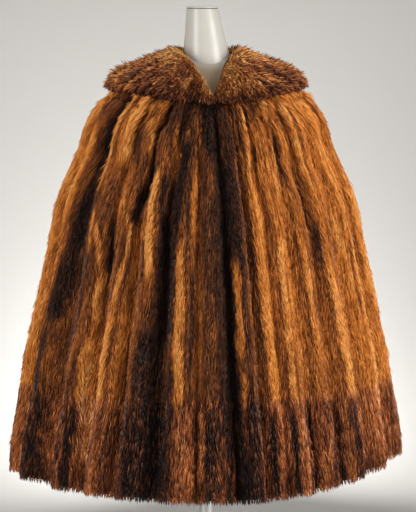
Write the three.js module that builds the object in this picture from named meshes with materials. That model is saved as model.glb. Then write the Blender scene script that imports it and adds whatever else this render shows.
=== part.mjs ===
// A long mink cape with a shawl collar and a deep border, on a limbless dress form with a stand.
// Millimetres, +Z up. The front faces -Y, and the origin is the middle of the stand's underside.
import * as THREE from 'three';

// Driving sizes
const NECK_TOP = 1453.5; // height of the form's flat neck top above the floor
const PELT = 10; // thickness of skin and lying fur together
const SEAM_GAP = 0.3; // between pieces that are sewn together
const REST_GAP = 0.5; // between the cape and what it lies on
const COLLAR_GAP = 0.8; // between the collar and the body under it
const FRONT_GAP = 3; // between the two front edges, which only meet
const FOLD_COLUMNS = 6; // facets across one fold
const COVERED_ROWS = 4; // rows of the body under the collar
const V_DEPTH = 2.3; // how far the neckline dips at the front, in rows of SECTIONS
const V_SPREAD = 15.5; // degrees over which that dip fades
const NECK_ROW = 0.1; // the neckline's row at the sides and back
const COLLAR_STAND = 0.4; // rows from the collar's inner edge to the body's neckline

// The cape's inner surface from neck to hem. side, front and back are its distances from
// the axis there, and each has the height at which this section passes.
const SECTIONS = [
  { name: 'neck', side: 50, sideUp: 1352, front: 50, frontUp: 1330, back: 54, backUp: 1350 },
  { name: 'nape', side: 85, sideUp: 1332, front: 72, frontUp: 1300, back: 77, backUp: 1330 },
  { name: 'yoke', side: 115, sideUp: 1317, front: 90, frontUp: 1270, back: 92, backUp: 1306 },
  { name: 'chest', side: 150, sideUp: 1302, front: 104, frontUp: 1243, back: 103, backUp: 1281 },
  { name: 'shoulder', side: 177, sideUp: 1290, front: 114, frontUp: 1220, back: 111, backUp: 1257 },
  { name: 'armhole', side: 195, sideUp: 1270, front: 122, frontUp: 1198, back: 117, backUp: 1233 },
  { name: 'gathers', side: 217, sideUp: 1243, front: 131, frontUp: 1178, back: 127, backUp: 1209 },
  { name: 'upper arm', side: 237, sideUp: 1205, front: 142, frontUp: 1150, back: 141, backUp: 1178 },
  { name: 'bust', side: 254, sideUp: 1145, front: 160, frontUp: 1100, back: 162, backUp: 1125 },
  { name: 'elbow', side: 296, sideUp: 1037, front: 192, frontUp: 1015, back: 195, backUp: 1025 },
  { name: 'waist', side: 315, sideUp: 930, front: 224, frontUp: 920, back: 229, backUp: 925 },
  { name: 'hip', side: 335, sideUp: 822, front: 252, frontUp: 818, back: 262, backUp: 820 },
  { name: 'thigh', side: 357, sideUp: 715, front: 277, frontUp: 713, back: 294, backUp: 714 },
  { name: 'border', side: 372, sideUp: 607, front: 300, frontUp: 598, back: 322, backUp: 604 },
  { name: 'knee', side: 384, sideUp: 533, front: 315, frontUp: 517, back: 341, backUp: 528 },
  { name: 'hem', side: 392, sideUp: 459, front: 328, frontUp: 437, back: 358, backUp: 452 },
];
const RIGHT_HEM_LIFT = 40; // how much higher the hem hangs at the viewer's right
const LIFT_ROW = 10; // where that lift begins
const BORDER_ROW = 12.5;
const HEM_ROW = 15;
const BODY_ROWS = [6, 7, 8.5, 10, 11.3, BORDER_ROW]; // below the collar
const BORDER_ROWS = [BORDER_ROW, 13.7, HEM_ROW];

// One row for each fold, in degrees round the cape from centre front towards the right arm
// of a viewer. rise is its height at the hem, and valley is how much of it the hollow
// after it keeps.
const FOLDS = [
  { name: 'right front edge', top: 6.5, middle: 6.5, hem: 8, rise: 38, valley: 0.3 },
  { name: 'right front', top: 15, middle: 12.5, hem: 14.5, rise: 26, valley: 0.25 },
  { name: 'right chest', top: 26, middle: 21.5, hem: 22, rise: 34, valley: 0.3 },
  { name: 'right pocket', top: 37.5, middle: 31.5, hem: 32, rise: 26, valley: 0.1 },
  { name: 'right arm front', top: 50, middle: 43, hem: 42, rise: 36, valley: 0.2 },
  { name: 'right arm', top: 63.5, middle: 58.5, hem: 55, rise: 30, valley: 0.15 },
  { name: 'right side', top: 80, middle: 76, hem: 72, rise: 33, valley: 0.1 },
  { name: 'right elbow', top: 97, middle: 94, hem: 91, rise: 26, valley: 0.3 },
  { name: 'right side back', top: 112, middle: 111, hem: 109, rise: 35, valley: 0.1 },
  { name: 'right shoulder blade', top: 126, middle: 126, hem: 125, rise: 27, valley: 0.25 },
  { name: 'right back', top: 141, middle: 142, hem: 142, rise: 36, valley: 0.05 },
  { name: 'right centre back', top: 156, middle: 158, hem: 158, rise: 26, valley: 0.2 },
  { name: 'centre back', top: 172, middle: 173, hem: 174, rise: 37, valley: 0 },
  { name: 'left centre back', top: 189, middle: 190, hem: 191, rise: 29, valley: 0.3 },
  { name: 'left back', top: 204, middle: 206, hem: 207, rise: 31, valley: 0.1 },
  { name: 'left shoulder blade', top: 220, middle: 221, hem: 223, rise: 26, valley: 0.2 },
  { name: 'left side back', top: 236, middle: 238, hem: 240, rise: 36, valley: 0.05 },
  { name: 'left elbow', top: 253, middle: 255, hem: 256, rise: 27, valley: 0.25 },
  { name: 'left side', top: 270, middle: 272, hem: 272, rise: 33, valley: 0.1 },
  { name: 'left arm', top: 288, middle: 290, hem: 288, rise: 36, valley: 0.05 },
  { name: 'left arm front', top: 311, middle: 310, hem: 307, rise: 34, valley: 0.15 },
  { name: 'left pocket', top: 325, middle: 323.5, hem: 319.5, rise: 30, valley: 0.15 },
  { name: 'left chest', top: 334.5, middle: 333.5, hem: 329, rise: 35, valley: 0 },
  { name: 'left front', top: 347, middle: 346.5, hem: 345.5, rise: 40, valley: 0.55 },
  { name: 'left front edge', top: 354.5, middle: 355, hem: 354.5, rise: 35, valley: 0 },
];
const OPENING = { top: 0, middle: 1.5, hem: 2.5 }; // where the front edges meet, in degrees
const HOLLOW_WIDTH = 1.5; // above 1, folds are round and the hollows between them narrow
const FOLD_GROWTH = 0.8; // below 1, folds rise soon after the collar

// The panels that are sewn side by side, each from the hollow before one fold to the hollow
// before another.
const PANELS = [
  { name: 'front_right', first: 0, last: 6 },
  { name: 'side_right', first: 6, last: 10 },
  { name: 'back', first: 10, last: 16 },
  { name: 'side_left', first: 16, last: 19 },
  { name: 'front_left', first: 19, last: 25 },
];

// The collar's thickness from its inner edge outwards, over the rows that it shares with the body.
const COLLAR_THICKNESS = [11, 20, 23, 24, 24, 20];
const COLLAR_EDGE = { front: 3.0, side: 5.4, back: 5.6, power: 2.4 };

// The form's torso below the shoulders, in the columns of SECTIONS.
const TORSO = [
  { name: 'armhole', side: 182, sideUp: 1261, front: 118, frontUp: 1198, back: 112, backUp: 1230 },
  { name: 'under arm', side: 172, sideUp: 1205, front: 127, frontUp: 1160, back: 112, backUp: 1180 },
  { name: 'bust', side: 158, sideUp: 1130, front: 134, frontUp: 1115, back: 104, backUp: 1125 },
  { name: 'ribs', side: 140, sideUp: 1050, front: 110, frontUp: 1050, back: 94, backUp: 1050 },
  { name: 'waist', side: 118, sideUp: 980, front: 92, frontUp: 980, back: 84, backUp: 980 },
  { name: 'high hip', side: 150, sideUp: 900, front: 106, frontUp: 900, back: 106, backUp: 900 },
  { name: 'hip', side: 172, sideUp: 830, front: 118, frontUp: 830, back: 124, backUp: 830 },
  { name: 'lower edge', side: 168, sideUp: 780, front: 114, frontUp: 780, back: 120, backUp: 780 },
];
const TORSO_COLUMNS = 48;
const TORSO_TOP = 1345; // height of the torso's top at the axis, inside the neck joint

// The neck above its joint with the torso.
const NECK = [
  { name: 'lower neck', side: 46, sideUp: 1374, front: 45, frontUp: 1368, back: 47, backUp: 1374 },
  { name: 'mid neck', side: 42, sideUp: 1398, front: 41, frontUp: 1396, back: 42, backUp: 1398 },
  { name: 'upper neck', side: 38, sideUp: 1424, front: 38, frontUp: 1424, back: 38, backUp: 1424 },
  { name: 'neck top', side: 34, sideUp: 1448, front: 34, frontUp: 1448, back: 34, backUp: 1448 },
];
const NECK_LEAN = 0.085; // how far the neck leans to the viewer's left for each millimetre up
const NECK_INSET = 0.08; // the neck is this share narrower than the torso's top
const NECK_COLUMNS = 32;

// The cap on the neck, with a dark band between them.
const BAND = { radius: 32.8, height: 1.8, edge: 0.2 };
const CAP = { radius: 33.8, edge: 1 };

// The stand
const POLE = { radius: 16, edge: 1, segments: 24 };
const SOCKET = { radius: 30, height: 40, edge: 3, segments: 32 };
const BASE = { radius: 200, height: 10, edge: 4, segments: 48 };

// Finishes
const fur = new THREE.MeshStandardMaterial({ name: 'mink_body', color: '#7a4a22', roughness: 0.8 });
const borderFur = new THREE.MeshStandardMaterial({ name: 'mink_border', color: '#5a2f16', roughness: 0.85 });
const collarFur = new THREE.MeshStandardMaterial({ name: 'mink_collar', color: '#8a4f26', roughness: 0.85 });
const linen = new THREE.MeshStandardMaterial({ name: 'form_linen', color: '#b9ab95', roughness: 0.8 });
const enamel = new THREE.MeshStandardMaterial({ name: 'neck_gloss', color: '#f1eee8', roughness: 0.2 });
const bandPaint = new THREE.MeshStandardMaterial({ name: 'neck_band', color: '#3b3430', roughness: 0.5 });
const steel = new THREE.MeshStandardMaterial({
  name: 'stand_metal', color: '#c9c7c2', roughness: 0.35, metalness: 0.7,
});

const COLUMNS = ['side', 'sideUp', 'front', 'frontUp', 'back', 'backUp'];

/** The section at a row number that need not be whole, on a smooth curve through the rows. */
function sectionAt(rows, row) {
  const below = Math.min(Math.max(Math.floor(row), 0), rows.length - 2);
  const share = row - below;
  const near = (step) => rows[Math.min(Math.max(below + step, 0), rows.length - 1)];
  const section = {};
  for (const column of COLUMNS) {
    const [a, b, c, d] = [-1, 0, 1, 2].map((step) => near(step)[column]);
    const bend = 2 * a - 5 * b + 4 * c - d + share * (3 * (b - c) + d - a);
    section[column] = b + 0.5 * share * (c - a + share * bend);
  }
  return section;
}

/** A point of a section, at an angle in degrees from centre front. */
function sectionPoint(section, degrees) {
  const turn = THREE.MathUtils.degToRad(degrees);
  const ahead = Math.cos(turn);
  const depth = ahead > 0 ? section.front : section.back;
  const endUp = ahead > 0 ? section.frontUp : section.backUp;
  const height = section.sideUp + (endUp - section.sideUp) * ahead * ahead;
  return new THREE.Vector3(section.side * Math.sin(turn), -depth * ahead, height);
}

/** A point of the cape's smooth inner surface. */
function surfacePoint(row, degrees) {
  const point = sectionPoint(sectionAt(SECTIONS, row), degrees);
  const toRight = Math.max(Math.sin(THREE.MathUtils.degToRad(degrees)), 0);
  const lower = Math.max((row - LIFT_ROW) / (HEM_ROW - LIFT_ROW), 0);
  return point.setZ(point.z + RIGHT_HEM_LIFT * toRight ** 2 * lower ** 2);
}

/** The direction that points out of the cape's smooth inner surface. */
function outwards(row, degrees) {
  const step = 0.05;
  const down = surfacePoint(row + step, degrees).sub(surfacePoint(row - step, degrees));
  const round = surfacePoint(row, degrees + step).sub(surfacePoint(row, degrees - step));
  return down.cross(round).normalize();
}

/** A point that lies a distance out of the smooth inner surface. */
function raisedPoint(row, degrees, distance) {
  return surfacePoint(row, degrees).addScaledVector(outwards(row, degrees), distance);
}

/** How far an angle is from centre front, up to 180 degrees. */
function fromFront(degrees) {
  const turned = THREE.MathUtils.euclideanModulo(degrees, 360);
  return Math.min(turned, 360 - turned);
}

/** The row of the neckline, a V at the front. */
function neckline(degrees) {
  return NECK_ROW + V_DEPTH * Math.exp(-fromFront(degrees) / V_SPREAD);
}

/** The row of the collar's outer edge. */
function collarEdge(degrees) {
  const away = Math.abs(Math.sin(THREE.MathUtils.degToRad(degrees))) ** COLLAR_EDGE.power;
  const end = fromFront(degrees) < 90 ? COLLAR_EDGE.front : COLLAR_EDGE.back;
  return end + (COLLAR_EDGE.side - end) * away;
}

/** The rows that the body and the collar share, from the body's neckline to the collar's edge. */
function coveredRow(step, degrees) {
  const start = neckline(degrees) + COLLAR_STAND;
  return start + ((collarEdge(degrees) - start) * step) / COVERED_ROWS;
}

/** 0 at the collar's edge and 1 at the hem. */
function downShare(row, degrees) {
  const edge = collarEdge(degrees);
  return Math.min(Math.max((row - edge) / (HEM_ROW - edge), 0), 1);
}

/** A value that changes smoothly from the collar over the middle to the hem. */
function alongFold(fold, share) {
  const atTop = 2 * (share - 0.5) * (share - 1);
  const atMiddle = -4 * share * (share - 1);
  const atHem = 2 * share * (share - 0.5);
  return fold.top * atTop + fold.middle * atMiddle + fold.hem * atHem;
}

/** The hollow that comes before a fold, where the opening is the hollow before the first. */
function hollowBefore(index, share) {
  if (index === 0 || index === FOLDS.length) {
    return alongFold(OPENING, share) + (index === 0 ? 0 : 360);
  }
  return (alongFold(FOLDS[index - 1], share) + alongFold(FOLDS[index], share)) / 2;
}

/** Where a column lies on the fold lines: a whole place is the hollow before that fold. */
function degreesAt(place, share) {
  const index = Math.min(Math.floor(place), FOLDS.length - 1);
  const part = place - index;
  const crest = alongFold(FOLDS[index], share);
  if (part < 0.5) {
    return THREE.MathUtils.lerp(hollowBefore(index, share), crest, part * 2);
  }
  return THREE.MathUtils.lerp(crest, hollowBefore(index + 1, share), part * 2 - 1);
}

/** How far the folds lift the cloth at a column. */
function foldLift(place, share) {
  const index = Math.min(Math.floor(place), FOLDS.length - 1);
  const part = place - index;
  const fold = FOLDS[index];
  const neighbour = FOLDS[THREE.MathUtils.euclideanModulo(part < 0.5 ? index - 1 : index + 1, FOLDS.length)];
  const hollow = part < 0.5 ? neighbour : fold;
  const floor = (hollow.valley * (fold.rise + neighbour.rise)) / 2;
  const depth = ((1 + Math.cos(2 * Math.PI * part)) / 2) ** HOLLOW_WIDTH;
  const growth = Math.sin((share * Math.PI) / 2) ** FOLD_GROWTH;
  return growth * THREE.MathUtils.lerp(fold.rise, floor, depth);
}

/** The angle of a column in a row, which follows the fold lines below the collar. */
function columnDegrees(place, row) {
  const first = degreesAt(place, 0);
  return degreesAt(place, downShare(row, first));
}

/** One closed wall between two grids of points, both with rows from the top down. */
function wallGeometry(outer, inner) {
  const rows = outer.length;
  const columns = outer[0].length;
  const positions = [...outer.flat(), ...inner.flat()].flatMap((point) => point.toArray());
  const outside = (row, column) => row * columns + column;
  const inside = (row, column) => rows * columns + row * columns + column;
  const faces = [];
  const quad = (a, b, c, d) => faces.push(a, b, c, a, c, d);
  for (let row = 0; row + 1 < rows; row += 1) {
    for (let column = 0; column + 1 < columns; column += 1) {
      const next = column + 1;
      quad(outside(row, column), outside(row + 1, column), outside(row + 1, next), outside(row, next));
      quad(inside(row, column), inside(row, next), inside(row + 1, next), inside(row + 1, column));
    }
    const last = columns - 1;
    quad(outside(row, 0), inside(row, 0), inside(row + 1, 0), outside(row + 1, 0));
    quad(outside(row, last), outside(row + 1, last), inside(row + 1, last), inside(row, last));
  }
  for (let column = 0; column + 1 < columns; column += 1) {
    const next = column + 1;
    const end = rows - 1;
    quad(outside(0, column), outside(0, next), inside(0, next), inside(0, column));
    quad(outside(end, column), inside(end, column), inside(end, next), outside(end, next));
  }
  const geometry = new THREE.BufferGeometry();
  geometry.setAttribute('position', new THREE.Float32BufferAttribute(positions, 3));
  geometry.setIndex(faces);
  geometry.computeVertexNormals();
  return geometry;
}

/** One closed body through rings of points from the top down, with a point at each end. */
function loftGeometry(rings, topPoint, bottomPoint) {
  const count = rings[0].length;
  const positions = [...rings.flat(), topPoint, bottomPoint].flatMap((point) => point.toArray());
  const topIndex = rings.length * count;
  const faces = [];
  for (let column = 0; column < count; column += 1) {
    const next = (column + 1) % count;
    for (let ring = 0; ring + 1 < rings.length; ring += 1) {
      const here = ring * count;
      const below = here + count;
      faces.push(here + column, below + column, below + next);
      faces.push(here + column, below + next, here + next);
    }
    const lowest = topIndex - count;
    faces.push(topIndex, column, next);
    faces.push(topIndex + 1, lowest + next, lowest + column);
  }
  const geometry = new THREE.BufferGeometry();
  geometry.setAttribute('position', new THREE.Float32BufferAttribute(positions, 3));
  geometry.setIndex(faces);
  geometry.computeVertexNormals();
  return geometry;
}

/** Moves the first and last column of a grid inwards, so that sewn pieces stay apart. */
function partSides(grid, firstGap, lastGap) {
  for (const row of grid) {
    const last = row.length - 1;
    const pulled = [[0, 1, firstGap], [last, last - 1, lastGap]];
    for (const [edge, beside, gap] of pulled) {
      const way = row[beside].clone().sub(row[edge]).normalize();
      row[edge] = row[edge].clone().addScaledVector(way, gap / 2);
    }
  }
}

/** Moves the first or last row of a grid inwards, so that sewn pieces stay apart. */
function partRow(grid, edge, beside) {
  grid[edge] = grid[edge].map((point, column) => {
    const way = grid[beside][column].clone().sub(point).normalize();
    return point.clone().addScaledVector(way, SEAM_GAP / 2);
  });
}

/** The outer and inner points of a stretch of the cape. rowAt gives a row for each step. */
function clothGrids(panel, steps, rowAt) {
  const outer = [];
  const inner = [];
  const columns = (panel.last - panel.first) * FOLD_COLUMNS;
  for (let step = 0; step < steps; step += 1) {
    outer.push([]);
    inner.push([]);
    for (let column = 0; column <= columns; column += 1) {
      const place = panel.first + column / FOLD_COLUMNS;
      const row = rowAt(step, degreesAt(place, 0));
      const degrees = columnDegrees(place, row);
      const lift = foldLift(place, downShare(row, degreesAt(place, 0)));
      outer[step].push(raisedPoint(row, degrees, lift + PELT));
      inner[step].push(raisedPoint(row, degrees, lift));
    }
  }
  return [outer, inner];
}

function gapBefore(place) {
  return place === 0 || place === FOLDS.length ? FRONT_GAP : SEAM_GAP;
}

function bodyPanel(panel) {
  const steps = COVERED_ROWS + 1 + BODY_ROWS.length;
  const rowAt = (step, degrees) =>
    step <= COVERED_ROWS ? coveredRow(step, degrees) : BODY_ROWS[step - COVERED_ROWS - 1];
  const grids = clothGrids(panel, steps, rowAt);
  for (const grid of grids) {
    partSides(grid, gapBefore(panel.first), gapBefore(panel.last));
    partRow(grid, steps - 1, steps - 2);
  }
  return wallGeometry(...grids);
}

function borderPanel(panel) {
  const grids = clothGrids(panel, BORDER_ROWS.length, (step) => BORDER_ROWS[step]);
  for (const grid of grids) {
    partSides(grid, gapBefore(panel.first), gapBefore(panel.last));
    partRow(grid, 0, 1);
  }
  return wallGeometry(...grids);
}

/** One half of the collar, between two places on the fold lines. */
function collarHalf(firstPlace, lastPlace) {
  const outer = [];
  const inner = [];
  const columns = ((lastPlace - firstPlace) * FOLD_COLUMNS) / 2;
  for (let step = 0; step < COLLAR_THICKNESS.length; step += 1) {
    outer.push([]);
    inner.push([]);
    for (let column = 0; column <= columns; column += 1) {
      const degrees = degreesAt(firstPlace + (column * 2) / FOLD_COLUMNS, 0);
      const row = step === 0 ? neckline(degrees) : coveredRow(step - 1, degrees);
      const seat = step === 0 ? 0 : PELT + COLLAR_GAP;
      inner[step].push(raisedPoint(row, degrees, seat));
      outer[step].push(raisedPoint(row, degrees, seat + COLLAR_THICKNESS[step]));
    }
  }
  const grids = [outer, inner];
  for (const grid of grids) {
    partSides(grid, gapBefore(firstPlace), gapBefore(lastPlace));
  }
  return wallGeometry(...grids);
}

/** The angles of a ring's columns, even steps all the way round. */
function ringAngles(count) {
  return Array.from({ length: count }, (_, column) => (column * 360) / count);
}

function torsoRings() {
  const angles = ringAngles(TORSO_COLUMNS);
  const onShoulders = (rowAt) => angles.map((degrees) => raisedPoint(rowAt(degrees), degrees, -REST_GAP));
  const rings = [onShoulders(() => 0), onShoulders((degrees) => neckline(degrees) / 2), onShoulders(neckline)];
  for (let step = 0; step < COVERED_ROWS; step += 1) {
    rings.push(onShoulders((degrees) => coveredRow(step, degrees)));
  }
  for (const section of TORSO) {
    rings.push(angles.map((degrees) => sectionPoint(section, degrees)));
  }
  return rings;
}

function torso() {
  const lowest = TORSO[TORSO.length - 1].sideUp;
  const topPoint = new THREE.Vector3(0, 0, TORSO_TOP);
  return loftGeometry(torsoRings(), topPoint, new THREE.Vector3(0, 0, lowest));
}

/** Where the middle of the leaning neck is at a height. */
function neckMiddle(height) {
  return (TORSO_TOP - height) * NECK_LEAN;
}

function neck() {
  const middle = new THREE.Vector3(0, 0, TORSO_TOP);
  const foot = ringAngles(NECK_COLUMNS).map((degrees) => {
    const point = raisedPoint(0, degrees, -REST_GAP).lerp(middle, NECK_INSET);
    return point.setZ(point.z + REST_GAP);
  });
  const rings = NECK.map((section) =>
    ringAngles(NECK_COLUMNS).map((degrees) => {
      const point = sectionPoint(section, degrees);
      return point.setX(point.x + neckMiddle(section.sideUp));
    }),
  );
  const height = NECK[NECK.length - 1].sideUp;
  const top = new THREE.Vector3(neckMiddle(height), 0, height);
  const bottom = middle.clone().setZ(TORSO_TOP + REST_GAP);
  return loftGeometry([...rings.reverse(), foot], top, bottom);
}

/** A round disc with its underside at z = 0 and its upper edge cut at 45 degrees. */
function discGeometry(radius, height, edge, segments) {
  const profile = [
    [0, 0],
    [radius, 0],
    [radius, height - edge],
    [radius - edge, height],
    [0, height],
  ];
  const points = profile.map(([across, up]) => new THREE.Vector2(across, up));
  return new THREE.LatheGeometry(points, segments).rotateX(Math.PI / 2);
}

const group = new THREE.Group();

function addPiece(name, geometry, material, height = 0, aside = 0) {
  const mesh = new THREE.Mesh(geometry, material);
  mesh.name = name;
  mesh.position.set(aside, 0, height);
  group.add(mesh);
}

for (const panel of PANELS) {
  addPiece(`cape_${panel.name}`, bodyPanel(panel), fur);
}
for (const panel of PANELS) {
  addPiece(`border_${panel.name}`, borderPanel(panel), borderFur);
}
const CENTRE_BACK = 12.5;
addPiece('collar_right', collarHalf(0, CENTRE_BACK), collarFur);
addPiece('collar_left', collarHalf(CENTRE_BACK, FOLDS.length), collarFur);

addPiece('form_torso', torso(), linen);
addPiece('form_neck', neck(), enamel);
const bandHeight = NECK[NECK.length - 1].sideUp + SEAM_GAP;
const bandGeometry = discGeometry(BAND.radius, BAND.height, BAND.edge, NECK_COLUMNS);
addPiece('form_neck_band', bandGeometry, bandPaint, bandHeight, neckMiddle(bandHeight));
const capHeight = bandHeight + BAND.height + SEAM_GAP;
const capGeometry = discGeometry(CAP.radius, NECK_TOP - capHeight, CAP.edge, NECK_COLUMNS);
addPiece('form_neck_cap', capGeometry, enamel, capHeight, neckMiddle(bandHeight));

const torsoBottom = TORSO[TORSO.length - 1].sideUp;
const socketHeight = torsoBottom - SEAM_GAP - SOCKET.height;
const socketGeometry = discGeometry(SOCKET.radius, SOCKET.height, SOCKET.edge, SOCKET.segments);
addPiece('stand_socket', socketGeometry, steel, socketHeight);
const poleLength = socketHeight - BASE.height - 2 * SEAM_GAP;
const poleGeometry = discGeometry(POLE.radius, poleLength, POLE.edge, POLE.segments);
addPiece('stand_pole', poleGeometry, steel, BASE.height + SEAM_GAP);
addPiece('stand_base', discGeometry(BASE.radius, BASE.height, BASE.edge, BASE.segments), steel);

export default group;
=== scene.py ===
"""A long mink cape on a limbless dress form, in metres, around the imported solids.

Each panel of the cape is a thin skin that hangs in folds, with its fur as thousands of closed
tapered locks that lie down the nap. The collar and the border at the hem have shaggier fur.
The form's torso, its glossy neck and its stand are smooth pieces on their solids' forms.
"""

from __future__ import annotations

import logging
import math
from dataclasses import dataclass
from enum import Enum

import bmesh
import bpy
import numpy as np
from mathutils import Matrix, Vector

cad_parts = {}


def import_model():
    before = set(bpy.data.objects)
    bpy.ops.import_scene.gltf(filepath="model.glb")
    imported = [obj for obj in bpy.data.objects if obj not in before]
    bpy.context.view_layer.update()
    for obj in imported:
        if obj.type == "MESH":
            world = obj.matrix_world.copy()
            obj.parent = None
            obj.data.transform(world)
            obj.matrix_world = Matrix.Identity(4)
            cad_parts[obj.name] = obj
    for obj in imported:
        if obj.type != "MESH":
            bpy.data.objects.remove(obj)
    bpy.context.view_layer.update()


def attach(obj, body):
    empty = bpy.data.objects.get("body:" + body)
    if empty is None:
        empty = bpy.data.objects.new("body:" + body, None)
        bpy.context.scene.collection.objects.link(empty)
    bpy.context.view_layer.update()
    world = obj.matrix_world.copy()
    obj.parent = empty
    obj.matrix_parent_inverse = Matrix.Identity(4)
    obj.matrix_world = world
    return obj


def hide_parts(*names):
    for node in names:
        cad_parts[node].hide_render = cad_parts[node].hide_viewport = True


LOG = logging.getLogger("cape")
MM = 0.001
BODY = "root"
Array = np.ndarray


class Slot(Enum):
    """The names of the record's finishes."""

    BODY_FUR = "mink_body"
    BORDER_FUR = "mink_border"
    COLLAR_FUR = "mink_collar"
    LINEN = "form_linen"
    GLOSS = "neck_gloss"
    BAND = "neck_band"
    METAL = "stand_metal"


@dataclass(frozen=True)
class Section:
    """Where a section passes at the side, the front and the back, in millimetres."""

    name: str
    side: float
    side_up: float
    front: float
    front_up: float
    back: float
    back_up: float

    def numbers(self) -> tuple[float, ...]:
        """Return the sizes as one row of a table."""
        return (self.side, self.side_up, self.front, self.front_up, self.back, self.back_up)


SECTIONS = (
    Section("neck", 50, 1352, 50, 1330, 54, 1350),
    Section("nape", 85, 1332, 72, 1300, 77, 1330),
    Section("yoke", 115, 1317, 90, 1270, 92, 1306),
    Section("chest", 150, 1302, 104, 1243, 103, 1281),
    Section("shoulder", 177, 1290, 114, 1220, 111, 1257),
    Section("armhole", 195, 1270, 122, 1198, 117, 1233),
    Section("gathers", 217, 1243, 131, 1178, 127, 1209),
    Section("upper arm", 237, 1205, 142, 1150, 141, 1178),
    Section("bust", 254, 1145, 160, 1100, 162, 1125),
    Section("elbow", 296, 1037, 192, 1015, 195, 1025),
    Section("waist", 315, 930, 224, 920, 229, 925),
    Section("hip", 335, 822, 252, 818, 262, 820),
    Section("thigh", 357, 715, 277, 713, 294, 714),
    Section("border", 372, 607, 300, 598, 322, 604),
    Section("knee", 384, 533, 315, 517, 341, 528),
    Section("hem", 392, 459, 328, 437, 358, 452),
)
LIFT_ROW = 10.0
BORDER_ROW = 12.5
HEM_ROW = 15.0
RIGHT_HEM_LIFT = 40.0


@dataclass(frozen=True)
class Fold:
    """One fold from collar to hem.

    top, middle and hem are its angle from centre front in degrees, rise is its height at the
    hem in millimetres and valley is how much of it the hollow after it keeps. crest and
    hollow say how golden the fur is there, from 0 to 1, at the top, middle, hem and border:
    partly the pelts' own stripes, partly painted highlight on the crests and painted shade
    in the hollows.
    """

    name: str
    top: float
    middle: float
    hem: float
    rise: float
    valley: float
    crest: tuple[float, float, float, float]
    hollow: tuple[float, float, float, float]


FOLDS = (
    Fold("right front edge", 6.5, 6.5, 8, 38, 0.4, (0.30, 0.30, 0.36, 0.16), (0.30, 0.42, 0.42, 0.24)),
    Fold("right front", 15, 12.5, 14.5, 26, 0.5, (0.50, 0.62, 0.62, 0.36), (0.50, 0.66, 0.64, 0.46)),
    Fold("right chest", 26, 21.5, 22, 34, 0.5, (0.50, 0.68, 0.70, 0.46), (0.55, 0.70, 0.66, 0.42)),
    Fold("right pocket", 37.5, 31.5, 32, 26, 0.4, (0.62, 0.62, 0.66, 0.46), (0.60, 0.62, 0.64, 0.42)),
    Fold("right arm front", 50, 43, 42, 36, 0.45, (0.70, 0.72, 0.72, 0.42), (0.66, 0.66, 0.70, 0.50)),
    Fold("right arm", 63.5, 58.5, 55, 30, 0.4, (0.76, 0.76, 0.76, 0.62), (0.70, 0.70, 0.72, 0.56)),
    Fold("right side", 80, 76, 72, 33, 0.1, (0.74, 0.76, 0.72, 0.56), (0.50, 0.50, 0.50, 0.34)),
    Fold("right elbow", 97, 94, 91, 26, 0.3, (0.76, 0.70, 0.64, 0.30), (0.36, 0.40, 0.42, 0.22)),
    Fold("right side back", 112, 111, 109, 35, 0.1, (0.80, 0.82, 0.74, 0.55), (0.22, 0.20, 0.22, 0.12)),
    Fold("right blade", 126, 126, 125, 27, 0.25, (0.66, 0.72, 0.68, 0.40), (0.36, 0.44, 0.42, 0.30)),
    Fold("right back", 141, 142, 142, 36, 0.05, (0.78, 0.84, 0.72, 0.54), (0.18, 0.14, 0.16, 0.06)),
    Fold("right centre back", 156, 158, 158, 26, 0.2, (0.62, 0.66, 0.64, 0.30), (0.30, 0.40, 0.38, 0.22)),
    Fold("centre back", 172, 173, 174, 37, 0, (0.74, 0.82, 0.74, 0.58), (0.10, 0.08, 0.10, 0.04)),
    Fold("left centre back", 189, 190, 191, 29, 0.3, (0.68, 0.70, 0.66, 0.42), (0.34, 0.42, 0.40, 0.26)),
    Fold("left back", 204, 206, 207, 31, 0.1, (0.80, 0.84, 0.76, 0.56), (0.22, 0.20, 0.20, 0.12)),
    Fold("left blade", 220, 221, 223, 26, 0.2, (0.60, 0.66, 0.64, 0.28), (0.34, 0.36, 0.40, 0.18)),
    Fold("left side back", 236, 238, 240, 36, 0.05, (0.76, 0.82, 0.72, 0.54), (0.20, 0.16, 0.18, 0.08)),
    Fold("left elbow", 253, 255, 256, 27, 0.25, (0.66, 0.70, 0.64, 0.42), (0.32, 0.38, 0.36, 0.24)),
    Fold("left side", 270, 272, 272, 33, 0.1, (0.72, 0.74, 0.68, 0.52), (0.50, 0.56, 0.60, 0.34)),
    Fold("left arm", 288, 290, 288, 36, 0.05, (0.50, 0.62, 0.50, 0.14), (0.36, 0.34, 0.34, 0.34)),
    Fold("left arm front", 311, 310, 307, 34, 0.15, (0.80, 0.50, 0.50, 0.24), (0.40, 0.50, 0.70, 0.56)),
    Fold("left pocket", 325, 323.5, 319.5, 30, 0.15, (0.60, 0.50, 0.66, 0.46), (0.2, 0.48, 0.58, 0.42)),
    Fold("left chest", 334.5, 333.5, 329, 35, 0, (0.30, 0.50, 0.30, 0.08), (0.20, 0.10, 0.02, 0.02)),
    Fold("left front", 347, 346.5, 345.5, 40, 0.55, (0.26, 0.40, 0.50, 0.40), (0.30, 0.46, 0.40, 0.42)),
    Fold("left front edge", 354.5, 355, 354.5, 35, 0, (0.10, 0.34, 0.32, 0.16), (0.00, 0.00, 0.00, 0.00)),
)


@dataclass(frozen=True)
class Streak:
    """A crease or a stripe of the fur, from one place and row down to another.

    width is its half width in places. tone is how golden its fur is, from 0 to 1, and height
    is how far it stands out in millimetres, less than 0 for a trough. The dark tones of the
    troughs and pockets are painted shade, and the golden tones of raised creases are partly
    painted highlight.
    """

    start: float
    top: float
    end: float
    bottom: float
    width: float
    tone: float
    height: float = 0.0


def streaks(*rows: tuple[float, ...]) -> tuple[Streak, ...]:
    """Make streaks of rows of numbers, in the order of a streak's own."""
    return tuple(Streak(*row) for row in rows)


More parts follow.
